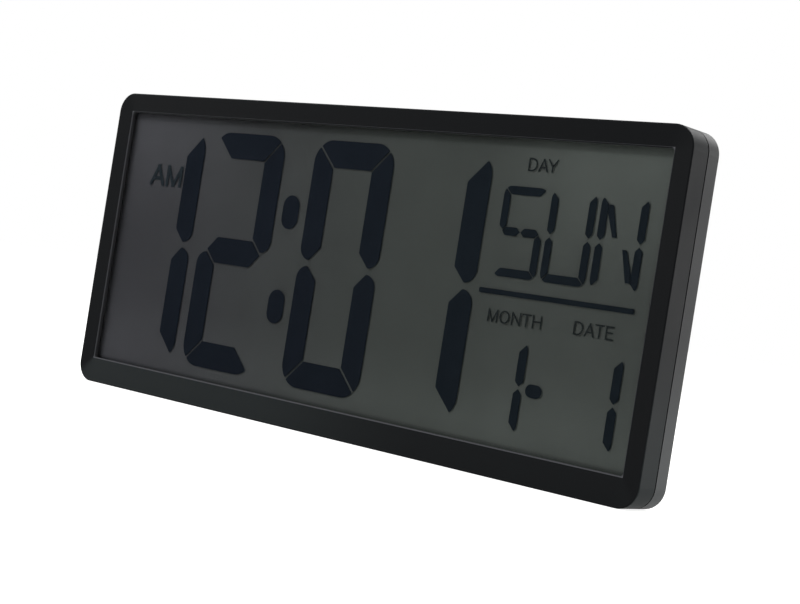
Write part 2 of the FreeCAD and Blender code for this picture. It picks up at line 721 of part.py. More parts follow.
def make_lcd_carrier():
    """Plate that presses the display forward, with screw tabs and a notch for the ribbon."""
    outline = front_glass_outline()
    solids = [plate(outline, CARRIER_FRONT, CARRIER_BACK)]
    holes = []
    wall = WIDTH / 2.0 - WALL - TAB_EDGE_CLEARANCE
    for x, z in tab_screw_places():
        left, right = (outline.right - 1.0, wall) if x > 0.0 else (-wall, outline.left + 1.0)
        solids.append(block(left, right, TAB_FRONT, CARRIER_BACK, z - TAB_HEIGHT / 2.0,
                            z + TAB_HEIGHT / 2.0))
        holes.append(rod(x, z, SMALL_SCREW_RADIUS + TAB_HOLE_CLEARANCE, TAB_FRONT, CARRIER_BACK))
    reach = RIBBON_WIDTH / 2.0 + NOTCH_MARGIN
    holes.append(block(BUTTON_CENTRE_X - reach, BUTTON_CENTRE_X + reach, CARRIER_FRONT, CARRIER_BACK,
                       outline.bottom - HOLLOW_CUT, outline.bottom + NOTCH_HEIGHT))
    return carve(join(solids), holes)


def make_carrier_screws():
    """Six small screws through the carrier's tabs."""
    return Part.makeCompound([screw(SMALL_SCREW, x, z, CARRIER_BACK, 1.0) for x, z in tab_screw_places()])


# ---- Display segments ----

def mirrored(points, cell, flip_x, flip_z):
    """Cell points placed on the display, mirrored within the cell where asked."""
    placed = []
    for u, v, radius in points:
        x = cell.width - u if flip_x else u
        z = cell.height - v if flip_z else v
        placed.append((cell.left + x, cell.bottom + z, radius))
    return placed


def shoulder(cell):
    """Where the outer corner starts to turn, where its tip ends, and the radius between them."""
    turn = cell.corner * (1.0 - math.tan(math.pi / 8.0))
    slant = cell.gap / 2.0 / math.sqrt(2.0)
    tip = cell.corner * (1.0 - 1.0 / math.sqrt(2.0))
    radius = cell.corner - cell.gap / 2.0 / math.tan(math.pi / 8.0)
    return turn, tip, slant, radius


def upright_points(cell):
    """Upper right stroke of a digit: nose at mid-height, mitre at the top outer corner."""
    turn, tip, slant, radius = shoulder(cell)
    width, height, stroke = cell.width, cell.height, cell.stroke
    nose = height / 2.0 + cell.gap * math.sqrt(2.0)
    outer_side = (width, nose + stroke / 2.0, 0.0) if cell.pointed else (width, nose, stroke * ROUND_END)
    return [
        (width - stroke, nose + stroke / 2.0, 0.0),
        (width - stroke / 2.0, nose, 0.0),
        outer_side,
        (width, height - turn, radius * 0.99),
        (width - tip + slant, height - tip - slant, 0.0),
        (width - stroke, height - stroke - 2.0 * slant, 0.0),
    ]


def bar_points(cell):
    """Top stroke of a digit, mitred at both ends."""
    turn, tip, slant, radius = shoulder(cell)
    width, height, stroke = cell.width, cell.height, cell.stroke
    return [
        (width - stroke - 2.0 * slant, height - stroke, 0.0),
        (width - tip - slant, height - tip + slant, 0.0),
        (width - turn, height, radius * 0.99),
        (turn, height, radius * 0.99),
        (tip + slant, height - tip + slant, 0.0),
        (stroke + 2.0 * slant, height - stroke, 0.0),
    ]


def middle_points(cell):
    """Middle stroke of a digit, pointed at both ends."""
    half = cell.stroke / 2.0
    level = cell.height / 2.0
    width = cell.width
    return [
        (half, level, 0.0), (2.0 * half, level + half, 0.0), (width - 2.0 * half, level + half, 0.0),
        (width - half, level, 0.0), (width - 2.0 * half, level - half, 0.0), (2.0 * half, level - half, 0.0),
    ]


def half_middle_points(cell):
    """Left half of a letter's middle stroke."""
    half = cell.stroke / 2.0
    level = cell.height / 2.0
    end = (cell.width - cell.gap) / 2.0
    return [
        (half, level, 0.0), (2.0 * half, level + half, 0.0), (end - half, level + half, 0.0),
        (end, level, 0.0), (end - half, level - half, 0.0), (2.0 * half, level - half, 0.0),
    ]


def slant_points(cell):
    """Upper left diagonal of a letter, from beside the left stroke down towards the middle."""
    left = cell.stroke + cell.gap / 2.0
    right = (cell.width - cell.stroke) / 2.0
    top = cell.height - cell.stroke - cell.gap
    foot = (cell.height + cell.stroke) / 2.0 + cell.gap
    return [
        (left, top, 0.0), (left, top - cell.stroke, 0.0), (right - LETTER_DIAGONAL, foot, 0.0),
        (right, foot, 0.0), (left + LETTER_DIAGONAL, top, 0.0),
    ]


def strokes(cell, names):
    """Outlines of the named strokes: a to g as on a seven-segment digit, h and k the diagonals."""
    drawn = {
        "a": (bar_points, False, False), "d": (bar_points, False, True),
        "b": (upright_points, False, False), "c": (upright_points, False, True),
        "f": (upright_points, True, False), "e": (upright_points, True, True),
        "g": (middle_points, False, False), "m": (half_middle_points, False, False),
        "n": (half_middle_points, True, False), "h": (slant_points, False, False),
        "k": (slant_points, True, True),
    }
    outlines = []
    for name in names:
        points, flip_x, flip_z = drawn[name]
        outline = mirrored(points(cell), cell, flip_x, flip_z)
        outlines.append(outline)
    return outlines


def bar(left, right, bottom, top, rounding):
    """Outline of a bar whose corners are rounded by this share of its narrower side."""
    radius = min(right - left, top - bottom) * rounding
    return [(right, top, radius), (left, top, radius), (left, bottom, radius), (right, bottom, radius)]


def segments(outlines):
    """Thin solids between the glasses, one for each outline."""
    back = SEGMENT_FRONT + SEGMENT_THICKNESS
    return Part.makeCompound([prism(outline, SEGMENT_FRONT, back) for outline in outlines])


def time_cell(left):
    """Cell of one time digit."""
    bottom = WINDOW.bottom + TIME_MARGIN_BOTTOM
    height = WINDOW.top - TIME_MARGIN_TOP - bottom
    return Cell(left, bottom, digit_width(), height, TIME_STROKE, TIME_CORNER, TIME_SEGMENT_GAP, False)


def make_lcd_time_digits():
    """Four time digits that read 12:01, and the colon."""
    width = digit_width()
    first = WINDOW.left + TIME_MARGIN_LEFT
    second = first + width + DIGIT_GAP
    third = second + width + COLON_SPACE
    fourth = third + width + DIGIT_GAP
    outlines = []
    for left, names in ((first, "bc"), (second, "abged"), (third, "abcdef"), (fourth, "bc")):
        outlines += strokes(time_cell(left), names)
    colon = second + width + COLON_CENTRE
    level = time_cell(first).bottom + time_cell(first).height / 2.0
    for offset in (-COLON_SPACING / 2.0, COLON_SPACING / 2.0):
        outlines.append(bar(colon - COLON_WIDTH / 2.0, colon + COLON_WIDTH / 2.0,
                            level + offset - COLON_HEIGHT / 2.0, level + offset + COLON_HEIGHT / 2.0,
                            ROUND_END))
    return segments(outlines)


def make_lcd_weekday_letters():
    """Three weekday letters that read SUN."""
    left = WINDOW.right - BLOCK_MARGIN_RIGHT - BLOCK_WIDTH
    width = (BLOCK_WIDTH - 2.0 * LETTER_GAP) / 3.0
    bottom = divider_height() + DIVIDER_THICKNESS / 2.0 + LETTER_RISE
    outlines = []
    for index, names in enumerate(("afmncd", "fbedc", "febchk")):
        cell = Cell(left + index * (width + LETTER_GAP), bottom, width, LETTER_HEIGHT, LETTER_STROKE,
                    LETTER_CORNER, LETTER_SEGMENT_GAP, True)
        outlines += strokes(cell, names)
    return segments(outlines)


def make_lcd_date_digits():
    """Month 1, dash, date 1 and the divider above them."""
    right = WINDOW.right - BLOCK_MARGIN_RIGHT
    left = right - BLOCK_WIDTH
    bottom = WINDOW.bottom + DATE_MARGIN_BOTTOM
    month = left + DASH_OFFSET - DATE_DIGIT_WIDTH
    date = right - DATE_END_INSET - DATE_DIGIT_WIDTH
    outlines = []
    for place in (month, date):
        cell = Cell(place, bottom, DATE_DIGIT_WIDTH, DATE_HEIGHT, DATE_STROKE, DATE_CORNER,
                    DATE_SEGMENT_GAP, True)
        outlines += strokes(cell, "bc")
    dash = left + DASH_OFFSET + DASH_GAP
    level = bottom + DATE_HEIGHT / 2.0 - DASH_DROP
    outlines.append(bar(dash, dash + DASH_WIDTH, level - DASH_HEIGHT / 2.0, level + DASH_HEIGHT / 2.0,
                        ROUND_END))
    line = divider_height()
    outlines.append(bar(left - DIVIDER_LEFT_OVERHANG, right + DIVIDER_RIGHT_OVERHANG,
                        line - DIVIDER_THICKNESS / 2.0, line + DIVIDER_THICKNESS / 2.0, SQUARE_END))
    return segments(outlines)


# ---- Circuit board ----

def quarter_bend(depth, z, radius, start):
    """Quarter turn of the ribbon about an axis along X; start is the angle from the back, in degrees."""
    left = BUTTON_CENTRE_X - RIBBON_WIDTH / 2.0
    outer = radius + RIBBON_THICKNESS / 2.0
    inner = radius - RIBBON_THICKNESS / 2.0
    turned = []
    for size in (outer, inner):
        sector = Part.makeCylinder(size, RIBBON_WIDTH, Vector(0.0, 0.0, 0.0), Vector(1.0, 0.0, 0.0))
        turned.append(sector)
    pipe = turned[0].cut(turned[1])
    quarter = Part.makeBox(RIBBON_WIDTH, outer, outer)
    quarter.rotate(Vector(0.0, 0.0, 0.0), Vector(1.0, 0.0, 0.0), start)
    bend = pipe.common(quarter)
    bend.translate(Vector(left, y_at(depth), z))
    return bend


def make_lcd_ribbon():
    """Printed film: up the ledge, back under the carrier, and up the front of the board."""
    half = RIBBON_THICKNESS / 2.0
    left = BUTTON_CENTRE_X - RIBBON_WIDTH / 2.0
    right = left + RIBBON_WIDTH
    ledge = front_glass_outline().bottom + RIBBON_START
    level = rear_glass_outline().bottom - RIBBON_START - half
    first_depth = FRONT_GLASS_BACK + half
    bend_z = level - RIBBON_LEDGE_RADIUS
    turn_depth = first_depth + RIBBON_LEDGE_RADIUS
    board_depth = BOARD_FRONT - half
    rise_depth = board_depth - RIBBON_BOARD_RADIUS
    rise_z = level + RIBBON_BOARD_RADIUS
    top = board_outline().bottom + RIBBON_OVERLAP
    strips = [
        block(left, right, first_depth - half, first_depth + half, ledge, bend_z),
        quarter_bend(turn_depth, bend_z, RIBBON_LEDGE_RADIUS, 90.0),
        block(left, right, turn_depth, rise_depth, level - half, level + half),
        quarter_bend(rise_depth, rise_z, RIBBON_BOARD_RADIUS, 270.0),
        block(left, right, board_depth - half, board_depth + half, rise_z, top),
    ]
    return join(strips)


def make_main_board():
    """Circuit board with its four screw holes."""
    holes = [rod(x, z, SMALL_SCREW_RADIUS + BOARD_HOLE_CLEARANCE, BOARD_FRONT, BOARD_BACK)
             for x, z in board_screw_places()]
    return carve(plate(board_outline(), BOARD_FRONT, BOARD_BACK), holes)


def make_board_screws():
    """Four small screws, driven from the front before the case is closed."""
    return Part.makeCompound([screw(SMALL_SCREW, x, z, BOARD_FRONT, -1.0) for x, z in board_screw_places()])


def make_chip_encapsulation():
    """Resin drop over the clock chip: a cap of a sphere."""
    sphere_radius = (CHIP_RADIUS ** 2 + CHIP_HEIGHT ** 2) / (2.0 * CHIP_HEIGHT)
    x = BUTTON_CENTRE_X + CHIP_OFFSET_X
    centre = Vector(x, y_at(BOARD_FRONT - CHIP_HEIGHT + sphere_radius), MIDDLE_Z)
    ball = Part.makeSphere(sphere_radius, centre)
    return ball.common(rod(x, MIDDLE_Z, CHIP_RADIUS, BOARD_FRONT - CHIP_HEIGHT, BOARD_FRONT))


def make_quartz_crystal():
    """Small can that lies on the board."""
    left = BUTTON_CENTRE_X + CRYSTAL_OFFSET_X
    return cross_rod(left, left + CRYSTAL_LENGTH, CRYSTAL_RADIUS, BOARD_FRONT - CRYSTAL_RADIUS,
                     MIDDLE_Z + CRYSTAL_OFFSET_Z)


def make_chip_capacitors():
    """Row of small capacitors."""
    solids = []
    for index in range(CAPACITOR_COUNT):
        x = BUTTON_CENTRE_X + CAPACITOR_OFFSET_X + CAPACITOR_PITCH * index
        z = MIDDLE_Z + CAPACITOR_OFFSET_Z
        solids.append(block(x, x + CAPACITOR_WIDTH, BOARD_FRONT - CAPACITOR_HEIGHT, BOARD_FRONT, z,
                            z + CAPACITOR_LENGTH))
    return Part.makeCompound(solids)


def make_switch_bodies():
    """Four switches on the back of the board, each with the bore of its plunger."""
    solids = []
    half = SWITCH_SIDE / 2.0
    for x in button_places():
        body = block(x - half, x + half, BOARD_BACK, SWITCH_BACK, MIDDLE_Z - half, MIDDLE_Z + half)
        bore = rod(x, MIDDLE_Z, PLUNGER_RADIUS + PLUNGER_CLEARANCE, SWITCH_BACK - SWITCH_BORE_DEPTH,
                   SWITCH_BACK)
        solids.append(body.cut(bore))
    return Part.makeCompound(solids)


def make_switch_plunger(x):
    """Plunger that the button presses."""
    return rod(x, MIDDLE_Z, PLUNGER_RADIUS, SWITCH_BACK - PLUNGER_DEPTH, STEM_FRONT)


def make_button(x):
    """Button cap: stem on the plunger, flange behind the pocket's floor, head through it."""
    head = rod(x, MIDDLE_Z, BUTTON_RADIUS, FLANGE_FRONT, DEPTH - BUTTON_FLUSH)
    head = head.makeFillet(BUTTON_ROUND, flat_edges(head, DEPTH - BUTTON_FLUSH))
    flange = rod(x, MIDDLE_Z, BUTTON_FLANGE_RADIUS, FLANGE_FRONT, FLANGE_BACK)
    stem = rod(x, MIDDLE_Z, BUTTON_STEM_RADIUS, STEM_FRONT, FLANGE_FRONT)
    return join([head, flange, stem])


# ---- Battery compartment ----

def make_aa_cells():
    """Two cells side by side, the upper one with its nub to the right and the lower one to the left."""
    upper, lower = cell_rows()
    right_stop = TUB_RIGHT - CONTACT_THICKNESS - CONTACT_DIMPLE
    left_stop = TUB_LEFT + CONTACT_THICKNESS + CONTACT_DIMPLE
    body_length = CELL_LENGTH - CELL_NUB_HEIGHT
    solids = []
    for z, tip, way in ((upper, right_stop, 1.0), (lower, left_stop, -1.0)):
        shoulder_x = tip - way * CELL_NUB_HEIGHT
        far = shoulder_x - way * body_length
        body = cross_rod(min(shoulder_x, far), max(shoulder_x, far), CELL_RADIUS, CELL_DEPTH, z)
        body = body.makeFillet(CELL_ROUND, [edge for edge in body.Edges if edge.Closed])
        nub = cross_rod(min(shoulder_x, tip), max(shoulder_x, tip), CELL_NUB_RADIUS, CELL_DEPTH, z)
        solids.append(join([body, nub]))
    return Part.makeCompound(solids)


def contact_plate(wall, way, bottom, top):
    """Sheet contact against an end wall; way points from the wall into the compartment."""
    inner = wall + way * CONTACT_THICKNESS
    return block(min(wall, inner), max(wall, inner), CELL_DEPTH - CONTACT_HEIGHT / 2.0,
                 CELL_DEPTH + CONTACT_HEIGHT / 2.0, bottom, top)


def contact_dimple(wall, way, z):
    """Pressed dimple that meets a cell's nub."""
    start = wall + way * CONTACT_THICKNESS / 2.0
    end = wall + way * (CONTACT_THICKNESS + CONTACT_DIMPLE)
    base = Vector(start, y_at(CELL_DEPTH), z)
    return Part.makeCone(CONTACT_DIMPLE_RADIUS, CONTACT_DIMPLE_RADIUS * 0.6, abs(end - start), base,
                         Vector(way, 0.0, 0.0))


def contact_spring(wall, way, z):
    """Coil spring on a contact plate that presses on a cell's flat end."""
    length = SPRING_HEIGHT - SPRING_WIRE_RADIUS * 2.0
    helix = Part.makeHelix(length / SPRING_TURNS, length, SPRING_RADIUS)
    start = Vector(SPRING_RADIUS, 0.0, 0.0)
    section = Part.Wire(Part.makeCircle(SPRING_WIRE_RADIUS, start, Vector(0.0, 1.0, 0.0)))
    coil = helix.makePipeShell([section], True, True)
    foot = wall + way * (CONTACT_THICKNESS + SPRING_WIRE_RADIUS * 0.8)
    turn = FreeCAD.Rotation(Vector(0.0, 0.0, 1.0), Vector(way, 0.0, 0.0))
    coil.Placement = FreeCAD.Placement(Vector(foot, y_at(CELL_DEPTH), z), turn)
    return coil


def contact_tail(z):
    """Solder tail that passes through the right end wall."""
    front = CELL_DEPTH - TAIL_DROP
    return block(TUB_RIGHT - CONTACT_THICKNESS, TUB_RIGHT + TAIL_LENGTH, front, front + CONTACT_THICKNESS,
                 z - TAIL_WIDTH / 2.0, z + TAIL_WIDTH / 2.0)


def make_positive_contact():
    """Plate, dimple and tail for the upper cell's nub."""
    z = cell_rows()[0]
    sheet = contact_plate(TUB_RIGHT, -1.0, z - CONTACT_WIDTH / 2.0, z + CONTACT_WIDTH / 2.0)
    return join([sheet, contact_dimple(TUB_RIGHT, -1.0, z), contact_tail(z)])


def make_negative_contact():
    """Plate, coil and tail for the lower cell's flat end."""
    z = cell_rows()[1]
    sheet = contact_plate(TUB_RIGHT, -1.0, z - CONTACT_WIDTH / 2.0, z + CONTACT_WIDTH / 2.0)
    return join([sheet, contact_spring(TUB_RIGHT, -1.0, z), contact_tail(z)])


def make_bridge_contact():
    """One plate that joins the two cells: a coil for the upper, a dimple for the lower."""
    upper, lower = cell_rows()
    sheet = contact_plate(TUB_LEFT, 1.0, lower - CONTACT_WIDTH / 2.0, upper + CONTACT_WIDTH / 2.0)
    return join([sheet, contact_spring(TUB_LEFT, 1.0, upper), contact_dimple(TUB_LEFT, 1.0, lower)])


def make_lead(z, end_z):
    """Insulated wire from a contact's tail to the front of the board, with a wide arc at each turn."""
    start_depth = CELL_DEPTH - TAIL_DROP + CONTACT_THICKNESS + LEAD_SOLDER + LEAD_RADIUS
    board_left = board_outline().left
    end_depth = BOARD_FRONT - LEAD_RADIUS
    start_x = TUB_RIGHT + TUB_WALL + LEAD_RADIUS
    span = board_left - start_x
    drop = end_z - z
    route = [
        Vector(start_x, y_at(start_depth), z),
        Vector(start_x + span * 0.22, y_at(start_depth - 2.2), z + drop * 0.1),
        Vector(start_x + span * 0.56, y_at(start_depth - 3.0), z + drop * 0.55),
        Vector(start_x + span * 0.84, y_at(start_depth - 2.4), z + drop * 0.9),
        Vector(board_left + 6.0, y_at(end_depth), end_z),
    ]
    edges = []
    here = route[0]
    for before, corner, after in zip(route, route[1:], route[2:]):
        run = min((corner - before).Length, (after - corner).Length)
        half_turn = (corner - before).getAngle(after - corner) / 2.0
        radius = LEAD_ARC_SHARE * run / math.tan(half_turn)
        start, middle, end = corner_arc(before, corner, after, radius)
        edges.append(Part.makeLine(here, start))
        edges.append(Part.Arc(start, middle, end).toShape())
        here = end
    edges.append(Part.makeLine(here, route[-1]))
    path = Part.Wire(edges)
    section = Part.Wire(Part.makeCircle(LEAD_RADIUS, route[0], route[1] - route[0]))
    return path.makePipeShell([section], True, False)


def make_battery_door():
    """Sliding door: plate, a tongue along each long edge, grip ridges and an arrow the way it opens."""
    left = plateau_outline().left
    half_plate = TUB_HALF_HEIGHT
    solids = [
        block(left, DOOR_RIGHT, DOOR_FRONT, DOOR_BACK, MIDDLE_Z - half_plate, MIDDLE_Z + half_plate),
        block(left, DOOR_RIGHT, DOOR_FRONT, DOOR_FRONT + DOOR_TONGUE_THICKNESS,
              MIDDLE_Z - DOOR_HALF_HEIGHT, MIDDLE_Z + DOOR_HALF_HEIGHT),
    ]
    for index in range(GRIP_RIDGES):
        x = left + GRIP_INSET + GRIP_PITCH * index
        base = Vector(x, y_at(DOOR_BACK), MIDDLE_Z - GRIP_LENGTH / 2.0)
        solids.append(Part.makeCylinder(GRIP_RADIUS, GRIP_LENGTH, base))
    tip = left + GRIP_INSET + GRIP_PITCH * (GRIP_RIDGES - 1) + ARROW_GAP
    solids.append(prism([(tip, MIDDLE_Z, 0.0), (tip + ARROW_LENGTH, MIDDLE_Z + ARROW_WIDTH / 2.0, 0.0),
                         (tip + ARROW_LENGTH, MIDDLE_Z - ARROW_WIDTH / 2.0, 0.0)],
                        DOOR_FRONT, DOOR_BACK + ARROW_RISE))
    return join(solids)


# ---- Leg ----

def make_stand_leg():
    """Leg: barrel on the pin, plate that narrows to the foot, ribs inside and a heel that stops it."""
    back = DEPTH - LEG_RECESS
    front = back - LEG_PLATE
    foot = LEG_FOOT_GAP
    half_top = LEG_WIDTH / 2.0
    half_foot = LEG_FOOT_WIDTH / 2.0
    panel = prism([(half_top, HINGE_HEIGHT, 0.0), (-half_top, HINGE_HEIGHT, 0.0),
                   (-half_foot, foot, LEG_FOOT_RADIUS), (half_foot, foot, LEG_FOOT_RADIUS)], front, back)
    rib_top = HINGE_HEIGHT - HINGE_BARREL_RADIUS / 2.0
    inner_top = half_top - LEG_RIB_WIDTH
    inner_foot = half_foot - LEG_RIB_WIDTH
    rim = prism([(half_top, HINGE_HEIGHT, 0.0), (-half_top, HINGE_HEIGHT, 0.0),
                 (-half_foot, foot, LEG_FOOT_RADIUS), (half_foot, foot, LEG_FOOT_RADIUS)],
                front - LEG_RIB_DEPTH, front)
    room = prism([(inner_top, rib_top, 0.0), (-inner_top, rib_top, 0.0),
                  (-inner_foot, foot + LEG_RIB_WIDTH, LEG_FOOT_RADIUS - LEG_RIB_WIDTH),
                  (inner_foot, foot + LEG_RIB_WIDTH, LEG_FOOT_RADIUS - LEG_RIB_WIDTH)],
                 front - LEG_RIB_DEPTH, front)
    ribs = [block(x - LEG_RIB_WIDTH / 2.0, x + LEG_RIB_WIDTH / 2.0, front - LEG_RIB_DEPTH, front,
                  foot + LEG_RIB_WIDTH / 2.0, HINGE_HEIGHT) for x in (-inner_foot / 3.0, inner_foot / 3.0)]
    barrel = cross_rod(-half_top, half_top, HINGE_BARREL_RADIUS, HINGE_DEPTH, HINGE_HEIGHT)
    heel = block(-half_top, half_top, HINGE_DEPTH - LEG_HEEL_SETBACK, back, HINGE_HEIGHT,
                 HINGE_HEIGHT + LEG_HEEL)
    bore = cross_rod(-LEG_WIDTH, LEG_WIDTH, PIN_RADIUS + PIN_CLEARANCE, HINGE_DEPTH, HINGE_HEIGHT)
    return carve(join([panel, rim.cut(room), barrel, heel] + ribs), [bore])


def make_hinge_pin():
    """Steel pin held in the bosses on both sides of the recess."""
    reach = stand_recess_outline(0.0).right + PIN_ENGAGEMENT
    return cross_rod(-reach, reach, PIN_RADIUS, HINGE_DEPTH, HINGE_HEIGHT)


def main():
    """Write one STEP file for each piece."""
    os.makedirs("parts", exist_ok=True)
    upper, lower = cell_rows()
    pieces = {
        "front_bezel": make_front_bezel(),
        "rear_cover": make_rear_cover(),
        "case_screws": make_case_screws(),
        "lcd_gasket": make_lcd_gasket(),
        "lcd_front_polarizer": make_lcd_front_polarizer(),
        "lcd_front_glass": make_lcd_front_glass(),
        "lcd_cell_seal": make_lcd_cell_seal(),
        "lcd_time_digits": make_lcd_time_digits(),
        "lcd_weekday_letters": make_lcd_weekday_letters(),
        "lcd_date_digits": make_lcd_date_digits(),
        "lcd_rear_glass": make_lcd_rear_glass(),
        "lcd_reflector": make_lcd_reflector(),
        "lcd_carrier": make_lcd_carrier(),
        "carrier_screws": make_carrier_screws(),
        "lcd_ribbon": make_lcd_ribbon(),
        "main_board": make_main_board(),
        "board_screws": make_board_screws(),
        "chip_encapsulation": make_chip_encapsulation(),
        "quartz_crystal": make_quartz_crystal(),
        "chip_capacitors": make_chip_capacitors(),
        "switch_bodies": make_switch_bodies(),
        "aa_cells": make_aa_cells(),
        "positive_contact": make_positive_contact(),
        "negative_contact": make_negative_contact(),
        "bridge_contact": make_bridge_contact(),
        "battery_lead_red": make_lead(upper, MIDDLE_Z + BOARD_HEIGHT / 6.0),
        "battery_lead_black": make_lead(lower, MIDDLE_Z - BOARD_HEIGHT / 6.0),
        "battery_door": make_battery_door(),
        "stand_leg": make_stand_leg(),
        "stand_hinge_pin": make_hinge_pin(),
    }
    for number, x in enumerate(button_places(), start=1):
        pieces[f"button_{number}"] = make_button(x)
        pieces[f"switch_plunger_{number}"] = make_switch_plunger(x)
    for name, shape in pieces.items():
        shape.exportStep(f"parts/{name}.step")
        print(name, "solids", len(shape.Solids), "volume", round(shape.Volume, 1), "valid", shape.isValid())


main()
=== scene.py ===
"""Finishes, display and studio of a wide LCD day clock, in metres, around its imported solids.

X runs to the viewer's right, the display faces -Y and the clock stands on Z = 0.
"""

import logging
import math
from dataclasses import dataclass, field
from enum import Enum
from typing import Any, Iterable

import bmesh
import bpy
from mathutils import Matrix, Vector
from mathutils.geometry import delaunay_2d_cdt


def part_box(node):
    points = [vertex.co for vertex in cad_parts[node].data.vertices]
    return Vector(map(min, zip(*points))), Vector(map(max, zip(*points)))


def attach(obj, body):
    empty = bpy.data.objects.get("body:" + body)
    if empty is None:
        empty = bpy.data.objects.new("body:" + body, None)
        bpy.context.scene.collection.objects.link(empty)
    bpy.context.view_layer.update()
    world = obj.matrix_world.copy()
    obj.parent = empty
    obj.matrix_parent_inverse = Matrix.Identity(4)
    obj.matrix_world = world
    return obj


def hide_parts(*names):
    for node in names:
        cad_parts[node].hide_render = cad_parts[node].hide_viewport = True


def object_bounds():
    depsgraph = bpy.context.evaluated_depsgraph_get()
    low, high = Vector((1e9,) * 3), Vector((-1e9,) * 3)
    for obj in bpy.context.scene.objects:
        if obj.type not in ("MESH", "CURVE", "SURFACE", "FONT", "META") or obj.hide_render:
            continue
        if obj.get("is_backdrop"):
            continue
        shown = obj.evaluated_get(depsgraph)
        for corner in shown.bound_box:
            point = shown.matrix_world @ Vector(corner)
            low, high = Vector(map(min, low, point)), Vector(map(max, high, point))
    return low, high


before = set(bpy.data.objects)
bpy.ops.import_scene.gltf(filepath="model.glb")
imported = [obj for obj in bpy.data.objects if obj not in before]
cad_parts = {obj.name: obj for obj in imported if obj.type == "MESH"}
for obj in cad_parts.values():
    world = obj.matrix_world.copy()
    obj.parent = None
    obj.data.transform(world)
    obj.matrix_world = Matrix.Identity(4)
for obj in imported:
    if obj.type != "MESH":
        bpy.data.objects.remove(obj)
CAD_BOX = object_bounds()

MM = 0.001
WHITE = "ffffff"
# How far the rim of the rear glass lies behind the bezel, all round its window.
GLASS_OVERLAP = 2.4 * MM
# Nearly all the values of a noise texture lie between these two.
NOISE_LOW, NOISE_HIGH = 0.3, 0.7
BEVEL_SAMPLES = 4
# The triangulation keeps what lies inside the outlines, and merges corners closer than this, in mm.
INSIDE_TRIANGLES = 1
MERGE_DISTANCE = 1e-4
DISC_CORNERS = 12

Tree = bpy.types.NodeTree
Socket = bpy.types.NodeSocket

log = logging.getLogger("day_clock")


class Body(Enum):
    """The bodies that a piece of this file rides on."""

    CASE = "case"


class Slot(Enum):
    """Names of the record's material slots, one for each kind of piece of this file."""

    BLACK_ABS = "black_abs"
    POLARISER = "polarizer_film"
    GLASS = "display_glass"
    SEGMENT = "lit_segment"


class Pen(Enum):
    """Widths of the pens that letters are drawn with, in millimetres."""

    PRINT = 0.3
    FINE = 0.7
    BOLD = 2.0


# ---- Colour and nodes ----

def linear(hex_code: str) -> tuple[float, float, float, float]:
    """Turns an sRGB hex colour into linear light.

    Args:
        hex_code: Six hex digits, such as "1a1b1d".

    Returns:
        Red, green, blue and an alpha of one.
    """
    channels = [int(hex_code[start:start + 2], 16) / 255.0 for start in (0, 2, 4)]
    red, green, blue = [c / 12.92 if c <= 0.04045 else ((c + 0.055) / 1.055) ** 2.4 for c in channels]
    return red, green, blue, 1.0


def add_node(tree: Tree, kind: str, inputs: dict[Any, Any] | None = None,
             **settings: Any) -> bpy.types.Node:
    """Adds one node with its settings, values and links.

    Args:
        tree: The node tree that takes the node.
        kind: The node's type name.
        inputs: Value or source socket of each input, by its name or number.
        **settings: Properties of the node itself.

    Returns:
        The new node.
    """
    node = tree.nodes.new(kind)
    for name, value in settings.items():
        setattr(node, name, value)
    for name, value in (inputs or {}).items():
        if isinstance(value, Socket):
            tree.links.new(value, node.inputs[name])
        else:
            node.inputs[name].default_value = value
    return node


@dataclass(frozen=True)
class Stretch:
    """A level that runs smoothly from one value to another while a number goes along a stretch."""

    number: Socket
    start: float
    end: float
    first: float
    last: float


def multiplied(tree: Tree, stretches: Iterable[Stretch]) -> Socket:
    """Multiplies the levels of one or more stretches.

    Args:
        tree: The node tree.
        stretches: The stretches.

    Returns:
        The socket that gives the product.
    """
    product = None
    for stretch in stretches:
        level = add_node(tree, "ShaderNodeMapRange",
                         {"Value": stretch.number, "From Min": stretch.start, "From Max": stretch.end,
                          "To Min": stretch.first, "To Max": stretch.last},
                         interpolation_type="SMOOTHSTEP").outputs["Result"]
        product = level if product is None else add_node(
            tree, "ShaderNodeMath", {0: product, 1: level}, operation="MULTIPLY").outputs["Value"]
    return product


def window_box() -> tuple[tuple[float, float], tuple[float, float]]:
    """Where the bezel's window is, inside the rear glass that it overlaps.

    Returns:
        X and Z of the window's lower left and upper right corners.
    """
    low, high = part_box("lcd_rear_glass")
    return (low.x + GLASS_OVERLAP, low.z + GLASS_OVERLAP), (high.x - GLASS_OVERLAP, high.z - GLASS_OVERLAP)


# ---- Finishes ----

@dataclass(frozen=True)
class Finish:
    """A real surface, known by what it is made of and how it was made."""

    name: str

    def shade(self, tree: Tree, place: Socket) -> Socket:
        """Builds the finish's nodes.

        Args:
            tree: Node tree of the material.
            place: Position on the piece, in metres.

        Returns:
            The socket that gives the surface.
        """
        raise NotImplementedError

    def material(self) -> bpy.types.Material:
        """Makes the material at its first use.

        Returns:
            The one material of this finish.
        """
        made = bpy.data.materials.get(self.name)
        if made is None:
            made = bpy.data.materials.new(self.name)
            made.use_nodes = True
            tree = made.node_tree
            tree.nodes.clear()
            place = add_node(tree, "ShaderNodeTexCoord").outputs["Object"]
            surface = self.shade(tree, place)
            add_node(tree, "ShaderNodeOutputMaterial", {"Surface": surface})
        return made


